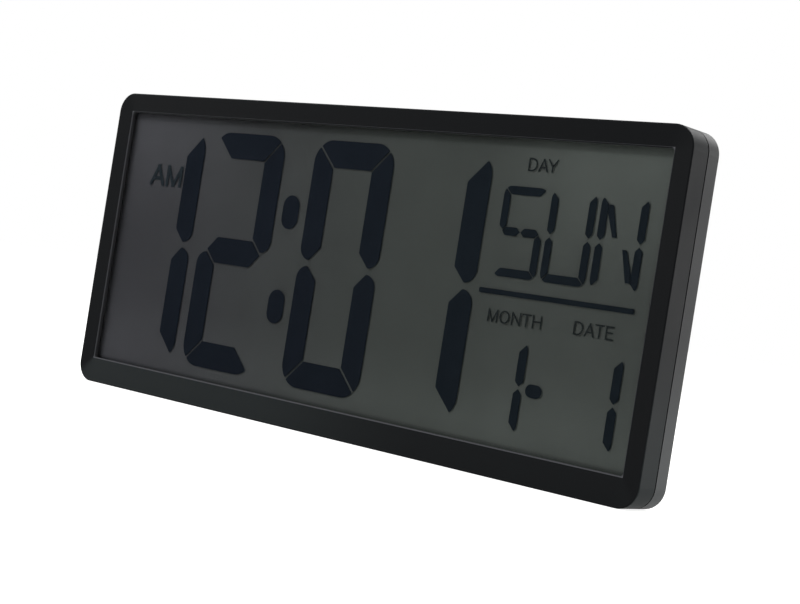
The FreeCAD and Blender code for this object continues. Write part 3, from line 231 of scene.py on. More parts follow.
@dataclass(frozen=True)
class MouldedPlastic(Finish):
    """Plastic from a steel mould whose cavity gives it an even grain.

    Attributes:
        low: One of its two tones.
        high: The other, which flow marks mix with the first.
        roughness: Its mean roughness, which the flow marks shift by gloss_swing.
        level: Its specular level.
        rub_and_highlight: Tone of its sharp edges, rubbed lighter by handling and partly a painted
            highlight.
        rub_and_highlight_share: How much of that tone a sharp edge takes.
        rub_and_highlight_bends: Cosines of the bend at which the lighter edge starts and at which it is
            full.
    """

    low: str
    high: str
    roughness: float
    level: float
    grain_mm: float
    grain_height_mm: float
    flow_mm: float = 35.0
    gloss_swing: float = 0.03
    # Sharp edges are drawn lighter: partly wear from handling, partly a painted highlight.
    rub_and_highlight: str = "2b2c2e"
    rub_and_highlight_share: float = 0.6
    rub_and_highlight_bends: tuple[float, float] = (0.995, 0.93)
    edge_round_mm: float = 0.2

    def shade(self, tree: Tree, place: Socket) -> Socket:
        """Grain as fine bumps, broad flow marks in tone and gloss, and edges lighter where hands rubbed
        them, partly a painted highlight.

        Args:
            tree: Node tree of the material.
            place: Position on the piece, in metres.

        Returns:
            The socket that gives the surface.
        """
        grain = add_node(tree, "ShaderNodeTexNoise",
                         {"Vector": place, "Scale": 1.0 / (self.grain_mm * MM), "Detail": 2.0})
        flow = add_node(tree, "ShaderNodeTexNoise",
                        {"Vector": place, "Scale": 1.0 / (self.flow_mm * MM), "Detail": 3.0})
        softened = add_node(tree, "ShaderNodeBevel", {"Radius": self.edge_round_mm * MM},
                            samples=BEVEL_SAMPLES)
        bump = add_node(tree, "ShaderNodeBump",
                        {"Strength": 1.0, "Distance": self.grain_height_mm * MM,
                         "Height": grain.outputs["Fac"], "Normal": softened.outputs["Normal"]})
        tone = add_node(tree, "ShaderNodeMix",
                        {"Factor": flow.outputs["Fac"], "A": linear(self.low), "B": linear(self.high)},
                        data_type="RGBA")
        gloss = add_node(tree, "ShaderNodeMapRange",
                         {"Value": flow.outputs["Fac"], "From Min": NOISE_LOW, "From Max": NOISE_HIGH,
                          "To Min": self.roughness - self.gloss_swing,
                          "To Max": self.roughness + self.gloss_swing})
        shader = add_node(tree, "ShaderNodeBsdfPrincipled",
                          {"Base Color": self.wear_and_painted_light(tree, place, tone.outputs[2]),
                           "Roughness": gloss.outputs["Result"],
                           "Specular IOR Level": self.level, "Normal": bump.outputs["Normal"]})
        return shader.outputs["BSDF"]

    def wear_and_painted_light(self, tree: Tree, place: Socket, tone: Socket) -> Socket:
        """Lightens the tone along sharp edges, partly as wear and partly as a painted highlight.

        Args:
            tree: Node tree of the material.
            place: Position on the piece, in metres.
            tone: The plastic's own colour.

        Returns:
            The socket that gives the colour.
        """
        softened = add_node(tree, "ShaderNodeBevel", {"Radius": self.edge_round_mm * MM},
                            samples=BEVEL_SAMPLES)
        flat = add_node(tree, "ShaderNodeNewGeometry")
        bend = add_node(tree, "ShaderNodeVectorMath",
                        {0: softened.outputs["Normal"], 1: flat.outputs["Normal"]}, operation="DOT_PRODUCT")
        start, full = self.rub_and_highlight_bends
        edge = add_node(tree, "ShaderNodeMapRange",
                        {"Value": bend.outputs["Value"], "From Min": start, "From Max": full,
                         "To Min": 0.0, "To Max": self.rub_and_highlight_share})
        # Lighter sharp edges: partly wear, partly a painted highlight.
        mixed = add_node(tree, "ShaderNodeMix",
                         {"Factor": edge.outputs["Result"], "A": tone, "B": linear(self.rub_and_highlight)},
                         data_type="RGBA")
        return mixed.outputs[2]


@dataclass(frozen=True)
class SheenPaintedPlastic(MouldedPlastic):
    """Moulded plastic with painted sheen on what faces up, stronger on the left, and on its side walls
    toward the foot.

    Attributes:
        painted_sheen: Tone of the painted sheen.
        sheen_up_slopes: Z of the normal at which the sheen on upward faces starts and at which it is
            strongest.
        sheen_side_slopes: Size of the normal's X at which the sheen on side walls starts and at which it is
            strongest.
        sheen_up_places: Shares of the half width between which the sheen on upward faces strengthens.
        sheen_up_least: How much of it is left at the right.
    """

    # Painted sheen: light painted on faces that look up and on the side walls toward the foot.
    painted_sheen: str = "232728"
    sheen_up_slopes: tuple[float, float] = (0.04, 0.1)
    sheen_side_slopes: tuple[float, float] = (0.3, 0.7)
    sheen_up_places: tuple[float, float] = (0.4, -0.3)
    sheen_up_least: float = 0.15

    def wear_and_painted_light(self, tree: Tree, place: Socket, tone: Socket) -> Socket:
        """Adds the painted sheen, which is stronger on the left half.

        Args:
            tree: Node tree of the material.
            place: Position on the piece, in metres.
            tone: The plastic's own colour.

        Returns:
            The socket that gives the colour.
        """
        (_, low), (right, high) = window_box()
        axis = add_node(tree, "ShaderNodeSeparateXYZ", {"Vector": place})
        surface = add_node(tree, "ShaderNodeNewGeometry")
        facing = add_node(tree, "ShaderNodeSeparateXYZ", {"Vector": surface.outputs["Normal"]})
        outward = add_node(tree, "ShaderNodeMath", {0: facing.outputs["X"]}, operation="ABSOLUTE")
        thin, thick = [share * right for share in self.sheen_up_places]
        # Painted sheen on upward faces, stronger on the left, and on side walls toward the foot.
        sheen_up = multiplied(tree, [Stretch(facing.outputs["Z"], *self.sheen_up_slopes, 0.0, 1.0),
                                  Stretch(axis.outputs["X"], thin, thick, self.sheen_up_least, 1.0)])
        sheen_side = multiplied(tree, [Stretch(outward.outputs["Value"], *self.sheen_side_slopes, 0.0, 1.0),
                                     Stretch(axis.outputs["Z"], (low + high) / 2.0, low, 0.0, 1.0)])
        either = add_node(tree, "ShaderNodeMath", {0: sheen_up, 1: sheen_side}, operation="MAXIMUM")
        mixed = add_node(tree, "ShaderNodeMix",
                         {"Factor": either.outputs["Value"], "A": super().wear_and_painted_light(tree, place, tone),
                          "B": linear(self.painted_sheen)}, data_type="RGBA")
        return mixed.outputs[2]


@dataclass(frozen=True)
class WindowedPlastic(SheenPaintedPlastic):
    """Case plastic round a window, with a painted highlight on its chamfer and painted light on the wall
    inside it.

    Attributes:
        chamfer_painted_highlight: Tone of the painted highlight on the chamfer.
        wall: Tone of the wall inside it, drawn paler as painted light.
        chamfer_mm: Width of the chamfer.
        lip: Share of that width that still has the wall's tone.
        rim: Share of it at which the shine starts to end.
        highlight_facing: X or Z of the normal at which the chamfer has no painted highlight, and at which it
            has all.
        highlight_dimming: X of the normal from which the highlight dims, and at which it is down to
            highlight_dimmed_level.
    """

    # Painted highlight on the window's chamfer.
    chamfer_painted_highlight: str = "58595d"
    # Painted light: the wall inside the window is drawn paler than the plastic.
    wall: str = "404143"
    chamfer_mm: float = 0.5
    lip: float = 0.01
    rim: float = 0.95
    highlight_facing: tuple[float, float] = (-0.5, -0.3)
    highlight_dimming: tuple[float, float] = (0.3, 0.6)
    highlight_dimmed_level: float = 0.65

    def wear_and_painted_light(self, tree: Tree, place: Socket, tone: Socket) -> Socket:
        """Adds painted light on the wall, and a painted highlight on the chamfer that its top and right
        sides lack.

        Args:
            tree: Node tree of the material.
            place: Position on the piece, in metres.
            tone: The plastic's own colour.

        Returns:
            The socket that gives the colour.
        """
        (left, low), (right, high) = window_box()
        axis = add_node(tree, "ShaderNodeSeparateXYZ", {"Vector": place})
        surface = add_node(tree, "ShaderNodeNewGeometry")
        facing = add_node(tree, "ShaderNodeSeparateXYZ", {"Vector": surface.outputs["Normal"]})
        beyond = []
        for where, start, end in ((axis.outputs["X"], left, right), (axis.outputs["Z"], low, high)):
            offset = add_node(tree, "ShaderNodeMath", {0: where, 1: (start + end) / 2.0},
                              operation="SUBTRACT")
            away = add_node(tree, "ShaderNodeMath", {0: offset.outputs["Value"]}, operation="ABSOLUTE")
            beyond.append(add_node(tree, "ShaderNodeMath",
                                   {0: away.outputs["Value"], 1: (end - start) / 2.0},
                                   operation="SUBTRACT"))
        outside = add_node(tree, "ShaderNodeMath",
                           {0: beyond[0].outputs["Value"], 1: beyond[1].outputs["Value"]},
                           operation="MAXIMUM").outputs["Value"]
        chamfer = self.chamfer_mm * MM
        lip = self.lip * chamfer
        # Painted highlight on the chamfer, absent on the top and right sides and dimmer on the left.
        chamfer_highlight = multiplied(tree, [Stretch(outside, lip, 2.0 * lip, 0.0, 1.0),
                                  Stretch(outside, self.rim * chamfer, chamfer, 1.0, 0.0),
                                  Stretch(facing.outputs["X"], *self.highlight_facing, 0.0, 1.0),
                                  Stretch(facing.outputs["X"], *self.highlight_dimming, 1.0, self.highlight_dimmed_level),
                                  Stretch(facing.outputs["Z"], *self.highlight_facing, 0.0, 1.0)])
        # Painted light on the wall inside the window.
        wall_light_share = multiplied(tree, [Stretch(outside, 0.0, lip, 1.0, 0.0)])
        colour = super().wear_and_painted_light(tree, place, tone)
        for share, layer in ((wall_light_share, self.wall), (chamfer_highlight, self.chamfer_painted_highlight)):
            colour = add_node(tree, "ShaderNodeMix", {"Factor": share, "A": colour, "B": linear(layer)},
                              data_type="RGBA").outputs[2]
        return colour


@dataclass(frozen=True)
class PolariserFilm(Finish):
    """Polariser laminated on glass: it takes half of the light and sends none of it astray.

    Attributes:
        dye: Tone of the film.
        density: Share of the light that it takes, which the streaks shift by density_swing.
        clear_from: Y behind which the pane is clear glass, in metres.
        streak_mm: Size of the streaks.
    """

    dye: str
    density: float
    clear_from: float
    streak_mm: float
    density_swing: float = 0.02

    def shade(self, tree: Tree, place: Socket) -> Socket:
        """A dark see-through face, very slightly streaked by the stretching of the film, on clear glass.

        Args:
            tree: Node tree of the material.
            place: Position on the piece, in metres.

        Returns:
            The socket that gives the surface.
        """
        axis = add_node(tree, "ShaderNodeSeparateXYZ", {"Vector": place})
        film = add_node(tree, "ShaderNodeMath", {0: axis.outputs["Y"], 1: self.clear_from},
                        operation="LESS_THAN")
        streaks = add_node(tree, "ShaderNodeTexNoise",
                           {"Vector": place, "Scale": 1.0 / (self.streak_mm * MM), "Detail": 1.0})
        density = add_node(tree, "ShaderNodeMapRange",
                           {"Value": streaks.outputs["Fac"], "To Min": self.density - self.density_swing,
                            "To Max": self.density + self.density_swing})
        alpha = add_node(tree, "ShaderNodeMath",
                         {0: film.outputs["Value"], 1: density.outputs["Result"]}, operation="MULTIPLY")
        shader = add_node(tree, "ShaderNodeBsdfPrincipled",
                          {"Base Color": linear(self.dye), "Roughness": 1.0, "Specular IOR Level": 0.0,
                           "Alpha": alpha.outputs["Value"]})
        return shader.outputs["BSDF"]


@dataclass(frozen=True)
class BackedGlass(Finish):
    """Clear float glass with a pearly reflecting polariser laminated close behind the crystal.

    Places across and up the window are shares of its half width and of the height of its middle.

    Attributes:
        left: Tone of the film at the left end.
        right: Tone that it has turned to at hue_place; besides its greener tint it is lighter, which is
            painted light.
        film_place: Y of the film, in metres.
        film_reach: How far from there its faces are looked for, in metres.
        corner_painted_light: How much paler painted light makes the upper corners, between the
            corner_places.
        foot_painted_light: How much paler painted light makes the foot, from foot_place down.
        right_painted_light: How much paler painted light makes the right part, between the right_places.
        left_rim_painted_light: How much paler painted light makes the left rim, on a strip of edge_mm.
        painted_rim_shade_mm: Start, end and level of the painted shade along the right, lower and upper
            rims.
        swing: How much the pearls and the clouds each shift the tone.
    """

    left: str
    right: str
    film_place: float
    film_reach: float
    hue_place: float = 0.4
    corner_painted_light: float = 0.4
    corner_places: tuple[float, float] = (0.35, 0.9)
    foot_painted_light: float = 0.36
    foot_place: float = 0.7
    right_painted_light: float = 0.12
    right_places: tuple[float, float] = (0.35, 0.7)
    left_rim_painted_light: float = 0.3
    edge_mm: float = 1.8
    painted_rim_shade_mm: tuple[tuple[float, float, float], ...] = (
        (0.0, 2.0, 0.9), (0.0, 2.6, 0.6), (2.4, 4.2, 0.76))
    pearl_mm: float = 0.6
    cloud_mm: float = 60.0
    swing: float = 0.06

    def shade(self, tree: Tree, place: Socket) -> Socket:
        """Clear glass round a film whose grey turns from violet to green across the display, with painted
        light and shade.

        Args:
            tree: Node tree of the material.
            place: Position on the piece, in metres.

        Returns:
            The socket that gives the surface.
        """
        (left, low), (right, high) = window_box()
        middle = (low + high) / 2.0
        axis = add_node(tree, "ShaderNodeSeparateXYZ", {"Vector": place})
        across, up = axis.outputs["X"], axis.outputs["Z"]
        away = add_node(tree, "ShaderNodeMath", {0: across}, operation="ABSOLUTE").outputs["Value"]
        turned = multiplied(tree, [Stretch(across, left, right * self.hue_place, 0.0, 1.0)])
        # The right tone is lighter than the left: painted light along with the film's tint.
        hue = add_node(tree, "ShaderNodeMix",
                       {"Factor": turned, "A": linear(self.left), "B": linear(self.right)},
                       data_type="RGBA")
        corner_start, corner_end = [right * share for share in self.corner_places]
        # Painted light: upper corners paler.
        corner = multiplied(tree, [Stretch(away, corner_start, corner_end, 0.0, self.corner_painted_light),
                                   Stretch(up, middle, high, 0.0, 1.0)])
        lift = add_node(tree, "ShaderNodeMath", {0: corner, 1: 1.0}, operation="ADD")
        pearl, cloud = [add_node(tree, "ShaderNodeTexNoise",
                                 {"Vector": place, "Scale": 1.0 / (size * MM), "Detail": 1.0})
                        for size in (self.pearl_mm, self.cloud_mm)]
        sides = ((across, right, -1.0), (up, low, 1.0), (up, high, -1.0))
        # Painted shade along the right, lower and upper rims.
        rims = [Stretch(where, side + inward * start * MM, side + inward * end * MM, tone, 1.0)
                for (where, side, inward), (start, end, tone) in zip(sides, self.painted_rim_shade_mm)]
        speckles = [Stretch(noise.outputs["Fac"], 0.0, 1.0, 1.0 - self.swing, 1.0 + self.swing)
                    for noise in (pearl, cloud)]
        right_start, right_end = [right * share for share in self.right_places]
        # Painted light on the foot, the right part and the left rim; the speckles are the film's own.
        gain = multiplied(tree, [Stretch(up, middle * self.foot_place, low, 1.0, 1.0 + self.foot_painted_light),
                                 Stretch(across, right_start, right_end, 1.0, 1.0 + self.right_painted_light),
                                 Stretch(across, left - GLASS_OVERLAP, left + self.edge_mm * MM,
                                         1.0 + self.left_rim_painted_light, 1.0), *speckles, *rims])
        strength = add_node(tree, "ShaderNodeMath", {0: lift.outputs["Value"], 1: gain},
                            operation="MULTIPLY")
        film = add_node(tree, "ShaderNodeVectorMath",
                        {0: hue.outputs[2], "Scale": strength.outputs["Value"]}, operation="SCALE")
        opaque = add_node(tree, "ShaderNodeMath",
                          {0: axis.outputs["Y"], 1: self.film_place, 2: self.film_reach},
                          operation="COMPARE")
        shader = add_node(tree, "ShaderNodeBsdfPrincipled",
                          {"Base Color": film.outputs["Vector"], "Roughness": 0.6,
                           "Specular IOR Level": 0.0, "Alpha": opaque.outputs["Value"]})
        return shader.outputs["BSDF"]


@dataclass(frozen=True)
class SwitchedCrystal(Finish):
    """Liquid crystal under voltage, seen through glass of its own index, so that it has no gloss.

    Attributes:
        left: Its tone at the left of the display.
        right: Its tone at the right.
        left_share: Share of the left half at which the tone starts to turn.
        right_share: Share of the right half at which it has turned.
        swing: How much the speckle shifts the tone.
    """

    left: str
    right: str
    left_share: float = 0.3
    right_share: float = 0.8
    speckle_mm: float = 1.5
    swing: float = 0.1

    def shade(self, tree: Tree, place: Socket) -> Socket:
        """A dark tone that changes across the display as its film does, with a fine speckle.

        Args:
            tree: Node tree of the material.
            place: Position on the piece, in metres.

        Returns:
            The socket that gives the surface.
        """
        (left, _), (right, _) = window_box()
        axis = add_node(tree, "ShaderNodeSeparateXYZ", {"Vector": place})
        share = multiplied(tree, [Stretch(axis.outputs["X"], left * self.left_share,
                                          right * self.right_share, 0.0, 1.0)])
        hue = add_node(tree, "ShaderNodeMix",
                       {"Factor": share, "A": linear(self.left), "B": linear(self.right)},
                       data_type="RGBA")
        speckle = add_node(tree, "ShaderNodeTexNoise",
                           {"Vector": place, "Scale": 1.0 / (self.speckle_mm * MM), "Detail": 3.0})
        level = add_node(tree, "ShaderNodeMapRange",
                         {"Value": speckle.outputs["Fac"], "To Min": 1.0 - self.swing,
                          "To Max": 1.0 + self.swing})
        tone = add_node(tree, "ShaderNodeVectorMath",
                        {0: hue.outputs[2], "Scale": level.outputs["Result"]}, operation="SCALE")
        shader = add_node(tree, "ShaderNodeBsdfPrincipled",
                          {"Base Color": tone.outputs["Vector"], "Roughness": 0.7,
                           "Specular IOR Level": 0.0})
        return shader.outputs["BSDF"]


@dataclass(frozen=True)
class SpeckledSolid(Finish):
    """An even material whose only texture is a fine speckle, such as resin, foam or ink."""

    low: str
    high: str
    roughness: float
    speckle_mm: float
    height_mm: float = 0.0
    level: float = 0.5

    def shade(self, tree: Tree, place: Socket) -> Socket:
        """Two near tones mixed by a fine noise, which also gives the surface its small relief.

        Args:
            tree: Node tree of the material.
            place: Position on the piece, in metres.

        Returns:
            The socket that gives the surface.
        """
        speckle = add_node(tree, "ShaderNodeTexNoise",
                           {"Vector": place, "Scale": 1.0 / (self.speckle_mm * MM), "Detail": 3.0})
        tone = add_node(tree, "ShaderNodeMix",
                        {"Factor": speckle.outputs["Fac"], "A": linear(self.low), "B": linear(self.high)},
                        data_type="RGBA")
        bump = add_node(tree, "ShaderNodeBump",
                        {"Strength": 1.0, "Distance": self.height_mm * MM, "Height": speckle.outputs["Fac"]})
        shader = add_node(tree, "ShaderNodeBsdfPrincipled",
                          {"Base Color": tone.outputs[2], "Roughness": self.roughness,
                           "Specular IOR Level": self.level, "Normal": bump.outputs["Normal"]})
        return shader.outputs["BSDF"]


@dataclass(frozen=True)
class PlatedSteel(Finish):
    """Steel under a thin plating, with the fine drawing lines of wire or strip.

    Attributes:
        low: One of its two tones.
        high: The other, which the lines mix with the first.
        roughness: Its roughness, from which the lines go up by duller or down by glossier.
        line_mm: Width of a line.
        line_stretch: How many times longer than that the lines are along X.
    """

    low: str
    high: str
    roughness: float
    line_mm: float = 0.15
    line_stretch: float = 12.5
    duller: float = 0.1
    glossier: float = 0.06

    def shade(self, tree: Tree, place: Socket) -> Socket:
        """A metal whose gloss and tone vary in thin lines along X.

        Args:
            tree: Node tree of the material.
            place: Position on the piece, in metres.

        Returns:
            The socket that gives the surface.
        """
        stretched = add_node(tree, "ShaderNodeMapping",
                             {"Vector": place, "Scale": (1.0 / self.line_stretch, 1.0, 1.0)},
                             vector_type="POINT")
        lines = add_node(tree, "ShaderNodeTexNoise",
                         {"Vector": stretched.outputs["Vector"], "Scale": 1.0 / (self.line_mm * MM),
                          "Detail": 2.0})
        tone = add_node(tree, "ShaderNodeMix",
                        {"Factor": lines.outputs["Fac"], "A": linear(self.low), "B": linear(self.high)},
                        data_type="RGBA")
        gloss = add_node(tree, "ShaderNodeMapRange",
                         {"Value": lines.outputs["Fac"], "To Min": self.roughness - self.glossier,
                          "To Max": self.roughness + self.duller})
        shader = add_node(tree, "ShaderNodeBsdfPrincipled",
                          {"Base Color": tone.outputs[2], "Metallic": 1.0,
                           "Roughness": gloss.outputs["Result"]})
        return shader.outputs["BSDF"]


@dataclass(frozen=True)
class StripedFilm(Finish):
    """Clear film printed with parallel conductors.

    Attributes:
        film: Tone of the film.
        track: Tone of the conductors.
        pitch_mm: From one conductor to the next.
        share: Part of the pitch that a conductor takes.
    """

    film: str
    track: str
    pitch_mm: float
    share: float
    film_roughness: float = 0.25
    track_roughness: float = 0.55

    def shade(self, tree: Tree, place: Socket) -> Socket:
        """Stripes across X that are duller than the film between them.

        Args:
            tree: Node tree of the material.
            place: Position on the piece, in metres.

        Returns:
            The socket that gives the surface.
        """
        axis = add_node(tree, "ShaderNodeSeparateXYZ", {"Vector": place})
        turns = add_node(tree, "ShaderNodeMath",
                         {0: axis.outputs["X"], 1: self.pitch_mm * MM}, operation="DIVIDE")
        phase = add_node(tree, "ShaderNodeMath", {0: turns.outputs["Value"]}, operation="FRACT")
        stripe = add_node(tree, "ShaderNodeMath",
                          {0: phase.outputs["Value"], 1: self.share}, operation="LESS_THAN")
        tone = add_node(tree, "ShaderNodeMix",
                        {"Factor": stripe.outputs["Value"], "A": linear(self.film), "B": linear(self.track)},
                        data_type="RGBA")
        gloss = add_node(tree, "ShaderNodeMapRange",
                         {"Value": stripe.outputs["Value"], "To Min": self.film_roughness,
                          "To Max": self.track_roughness})
        shader = add_node(tree, "ShaderNodeBsdfPrincipled",
                          {"Base Color": tone.outputs[2], "Roughness": gloss.outputs["Result"]})
        return shader.outputs["BSDF"]


@dataclass(frozen=True)
class CellSleeve(Finish):
    """Printed plastic sleeve shrunk on nickel-plated steel cans that lie along X, one above the other.

    Attributes:
        sleeve: Tone of the sleeve.
        band: Tone of the ring at the plus end.
        metal: Tone of the can.
        centre: X of the middle of both cells.
        axis_heights: Z of the upper and the lower cell's axis.
        axis_depth: Y of both.
        sleeve_radius: Radius at which the sleeve's rolled edge stops.
        band_start: How far from the centre the ring starts.
        smoothest: Least roughness of the print.
        roughest: Its greatest roughness.
    """

    sleeve: str
    band: str
    metal: str
    centre: float
    axis_heights: tuple[float, float]
    axis_depth: float
    sleeve_radius: float
    band_start: float
    grain_mm: float = 0.5
    smoothest: float = 0.26
    roughest: float = 0.38

    def shade(self, tree: Tree, place: Socket) -> Socket:
        """Metal at the ends, where the sleeve's rolled edge stops, and a pale ring round the plus end.

        Args:
            tree: Node tree of the material.
            place: Position on the piece, in metres.

        Returns:
            The socket that gives the surface.
        """
        axis = add_node(tree, "ShaderNodeSeparateXYZ", {"Vector": place})
        depth = add_node(tree, "ShaderNodeMath",
                         {0: axis.outputs["Y"], 1: self.axis_depth}, operation="SUBTRACT")
        upper, lower = self.axis_heights
        middle = (upper + lower) / 2.0
        is_upper = add_node(tree, "ShaderNodeMath",
                            {0: axis.outputs["Z"], 1: middle}, operation="GREATER_THAN")
        own_axis = add_node(tree, "ShaderNodeMapRange",
                            {"Value": is_upper.outputs["Value"], "To Min": lower, "To Max": upper})
        height = add_node(tree, "ShaderNodeMath",
                          {0: axis.outputs["Z"], 1: own_axis.outputs["Result"]}, operation="SUBTRACT")
        radial = add_node(tree, "ShaderNodeCombineXYZ",
                          {"X": depth.outputs["Value"], "Y": height.outputs["Value"]})
        radius = add_node(tree, "ShaderNodeVectorMath", {0: radial.outputs["Vector"]}, operation="LENGTH")
        bare = add_node(tree, "ShaderNodeMath",
                        {0: radius.outputs["Value"], 1: self.sleeve_radius}, operation="LESS_THAN")
        along = add_node(tree, "ShaderNodeMath",
                         {0: axis.outputs["X"], 1: self.centre}, operation="SUBTRACT")
        direction = add_node(tree, "ShaderNodeMapRange",
                             {"Value": is_upper.outputs["Value"], "To Min": -1.0, "To Max": 1.0})
        toward_plus = add_node(tree, "ShaderNodeMath",
                               {0: along.outputs["Value"], 1: direction.outputs["Result"]},
                               operation="MULTIPLY")
        ring = add_node(tree, "ShaderNodeMath",
                        {0: toward_plus.outputs["Value"], 1: self.band_start}, operation="GREATER_THAN")
        print_grain = add_node(tree, "ShaderNodeTexNoise",
                               {"Vector": place, "Scale": 1.0 / (self.grain_mm * MM), "Detail": 2.0})
        printed = add_node(tree, "ShaderNodeMix",
                           {"Factor": ring.outputs["Value"], "A": linear(self.sleeve),
                            "B": linear(self.band)}, data_type="RGBA")
        colour = add_node(tree, "ShaderNodeMix",
                          {"Factor": bare.outputs["Value"], "A": printed.outputs[2],
                           "B": linear(self.metal)}, data_type="RGBA")
        gloss = add_node(tree, "ShaderNodeMapRange",
                         {"Value": print_grain.outputs["Fac"], "To Min": self.smoothest,
                          "To Max": self.roughest})
        shader = add_node(tree, "ShaderNodeBsdfPrincipled",
                          {"Base Color": colour.outputs[2], "Metallic": bare.outputs["Value"],
                           "Roughness": gloss.outputs["Result"]})
        return shader.outputs["BSDF"]


# ABS moulded in a spark-eroded cavity: black, with a soft, low sheen and no clear reflections.
# The real grain is about 0.05 mm; it is drawn at 0.4 mm so that it shows.
# Its window's chamfer has a painted highlight, the wall inside it painted light, and its upward faces and
# lower side walls painted sheen.
BEZEL_ABS = WindowedPlastic("black_abs_spark_eroded_fine", "0c0d0f", "0e1012", roughness=0.48, level=0.05,
                            grain_mm=0.4, grain_height_mm=0.012, rub_and_highlight="1c1d20")
# The rear cover comes from a second, coarser cavity, and looks a little greyer from the side.
# Painted sheen lightens its upward faces and its side walls toward the foot.
COVER_ABS = SheenPaintedPlastic("black_abs_spark_eroded_coarse", "0f1012", "141517", roughness=0.5, level=0.12,
                         grain_mm=0.55, grain_height_mm=0.02, painted_sheen="464849")
# ABS left in its own colour: a warm off-white, smooth from the mould.
CARRIER_ABS = MouldedPlastic("natural_abs_moulded", "c9c6b8", "d6d3c6", roughness=0.4, level=0.5,
                             grain_mm=0.8, grain_height_mm=0.005, rub_and_highlight="e0ddd2")
# ABS buttons from a polished cavity: deep black with a clearer gloss than the case.
BUTTON_ABS = MouldedPlastic("black_abs_polished", "101113", "161719", roughness=0.32, level=0.4,
                            grain_mm=0.5, grain_height_mm=0.004)
# Glass-filled nylon of the small switches: dull, with short fibre marks.
SWITCH_NYLON = MouldedPlastic("black_nylon_glass_filled", "141414", "202020", roughness=0.6, level=0.4,
                              grain_mm=0.25, grain_height_mm=0.01)
# Liquid crystal that is switched on: absorbs nearly all light and leaves a deep blue-black.
SEGMENT_CRYSTAL = SwitchedCrystal("liquid_crystal_switched", "39414e", "39434c")
# The narrow electrodes of the small words switch less crystal, so the words are a paler green-grey.
WORD_CRYSTAL = SwitchedCrystal("liquid_crystal_thinly_switched", "4e5557", "4e5557")
# The sign of the half day is switched at part voltage: slate grey.
BOLD_WORD_CRYSTAL = SwitchedCrystal("liquid_crystal_partly_switched", "4c575f", "4c575f")
# Cured epoxy round the cell, filled with glass beads: drawn a pale grey as painted light in the shade under
# the bezel's lip.
SEAL_EPOXY = SpeckledSolid("grey_epoxy_cured", "7c7d80", "88898c", roughness=0.5, speckle_mm=2.0,
                           level=0.2)
# Closed-cell charcoal foam strip with open pores on its cut face, drawn paler grey as painted light in the
# shade under the lip.
GASKET_FOAM = SpeckledSolid("charcoal_pe_foam_die_cut", "454547", "545456", roughness=0.95, speckle_mm=0.4,
                            height_mm=0.08, level=0.2)
# Reflecting polariser film: a pale pearly grey.
REFLECTOR_FILM = SpeckledSolid("reflective_polariser_film", "9aa09a", "aab0a8", roughness=0.4,
                               speckle_mm=0.8)
# Epoxy dripped over the chip: black and dome-shaped, with a slight orange peel.
CHIP_EPOXY = SpeckledSolid("black_epoxy_dripped", "0c0c0c", "141414", roughness=0.35, speckle_mm=3.0,
                           height_mm=0.1)
# Green solder mask over glass-epoxy laminate: glossy, with the copper pattern paler underneath.
BOARD_LAMINATE = SpeckledSolid("glass_epoxy_solder_masked", "0d3d22", "1a5a33", roughness=0.35,
                               speckle_mm=4.0)
# Fired ceramic of the small capacitors: matt tan.
CAPACITOR_CERAMIC = SpeckledSolid("ceramic_fired", "7c5a3c", "8d6a48", roughness=0.55, speckle_mm=0.3)
# Extruded PVC insulation: even colour with a waxy gloss.
RED_PVC = SpeckledSolid("red_pvc_extruded", "a5110f", "b81a16", roughness=0.38, speckle_mm=2.0)
BLACK_PVC = SpeckledSolid("black_pvc_extruded", "0e0e0e", "161616", roughness=0.38, speckle_mm=2.0)
# Pad-printing ink: an even pale grey that sits just proud of the plastic.
LEGEND_INK = SpeckledSolid("pale_grey_ink_pad_printed", "b4b6b8", "c2c4c6", roughness=0.6, speckle_mm=0.5)
# Nickel plating on spring steel and screws: bright, slightly warm metal.
NICKEL = PlatedSteel("nickel_plated_steel_drawn", "b8b2a6", "cdc8bd", roughness=0.28)
# Black zinc plating on the case screws: dark metal with a satin gloss.
BLACK_ZINC = PlatedSteel("black_zinc_plated_steel", "2a2a2c", "3a3a3d", roughness=0.36)
# Heat-seal ribbon: amber polyimide with dark carbon tracks at a 1.2 mm pitch.
RIBBON_FILM = StripedFilm("polyimide_film_printed", "a86a1e", "2c1a0c", pitch_mm=1.2, share=0.5)


# ---- Meshes ----

def new_piece(name: str, mesh: bpy.types.Mesh, body: Body, slot: Slot, finish: Finish) -> bpy.types.Object:
    """Puts a mesh in the scene as a finished piece that rides on a body.

    Args:
        name: The piece's name.
        mesh: Its mesh, already in place.
        body: The body that it moves with.
        slot: The record's material slot; not used.
        finish: Its surface.

    Returns:
        The new object.
    """
    piece = bpy.data.objects.new(name, mesh)
    bpy.context.scene.collection.objects.link(piece)
    mesh.materials.clear()
    mesh.materials.append(finish.material())
    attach(piece, body.value)
    return piece


def rounded_ring(left: float, right: float, low: float, high: float, radius: float, depth: float,
                 steps: int = 6) -> list[Vector]:
    """Points round a rectangle with round corners, in a plane that faces -Y.

    Args:
        left: Lowest X.
        right: Highest X.
        low: Lowest Z.
        high: Highest Z.
        radius: Corner radius.
        depth: Y of the plane.
        steps: Spans in each corner.

    Returns:
        The points, counter-clockwise as seen from the front.
    """
    corners = ((right - radius, high - radius), (left + radius, high - radius),
               (left + radius, low + radius), (right - radius, low + radius))
    points = []
    for quarter, (x, z) in enumerate(corners):
        for step in range(steps + 1):
            turn = math.pi / 2.0 * (quarter + step / steps)
            points.append(Vector((x + radius * math.cos(turn), depth, z + radius * math.sin(turn))))
    return points


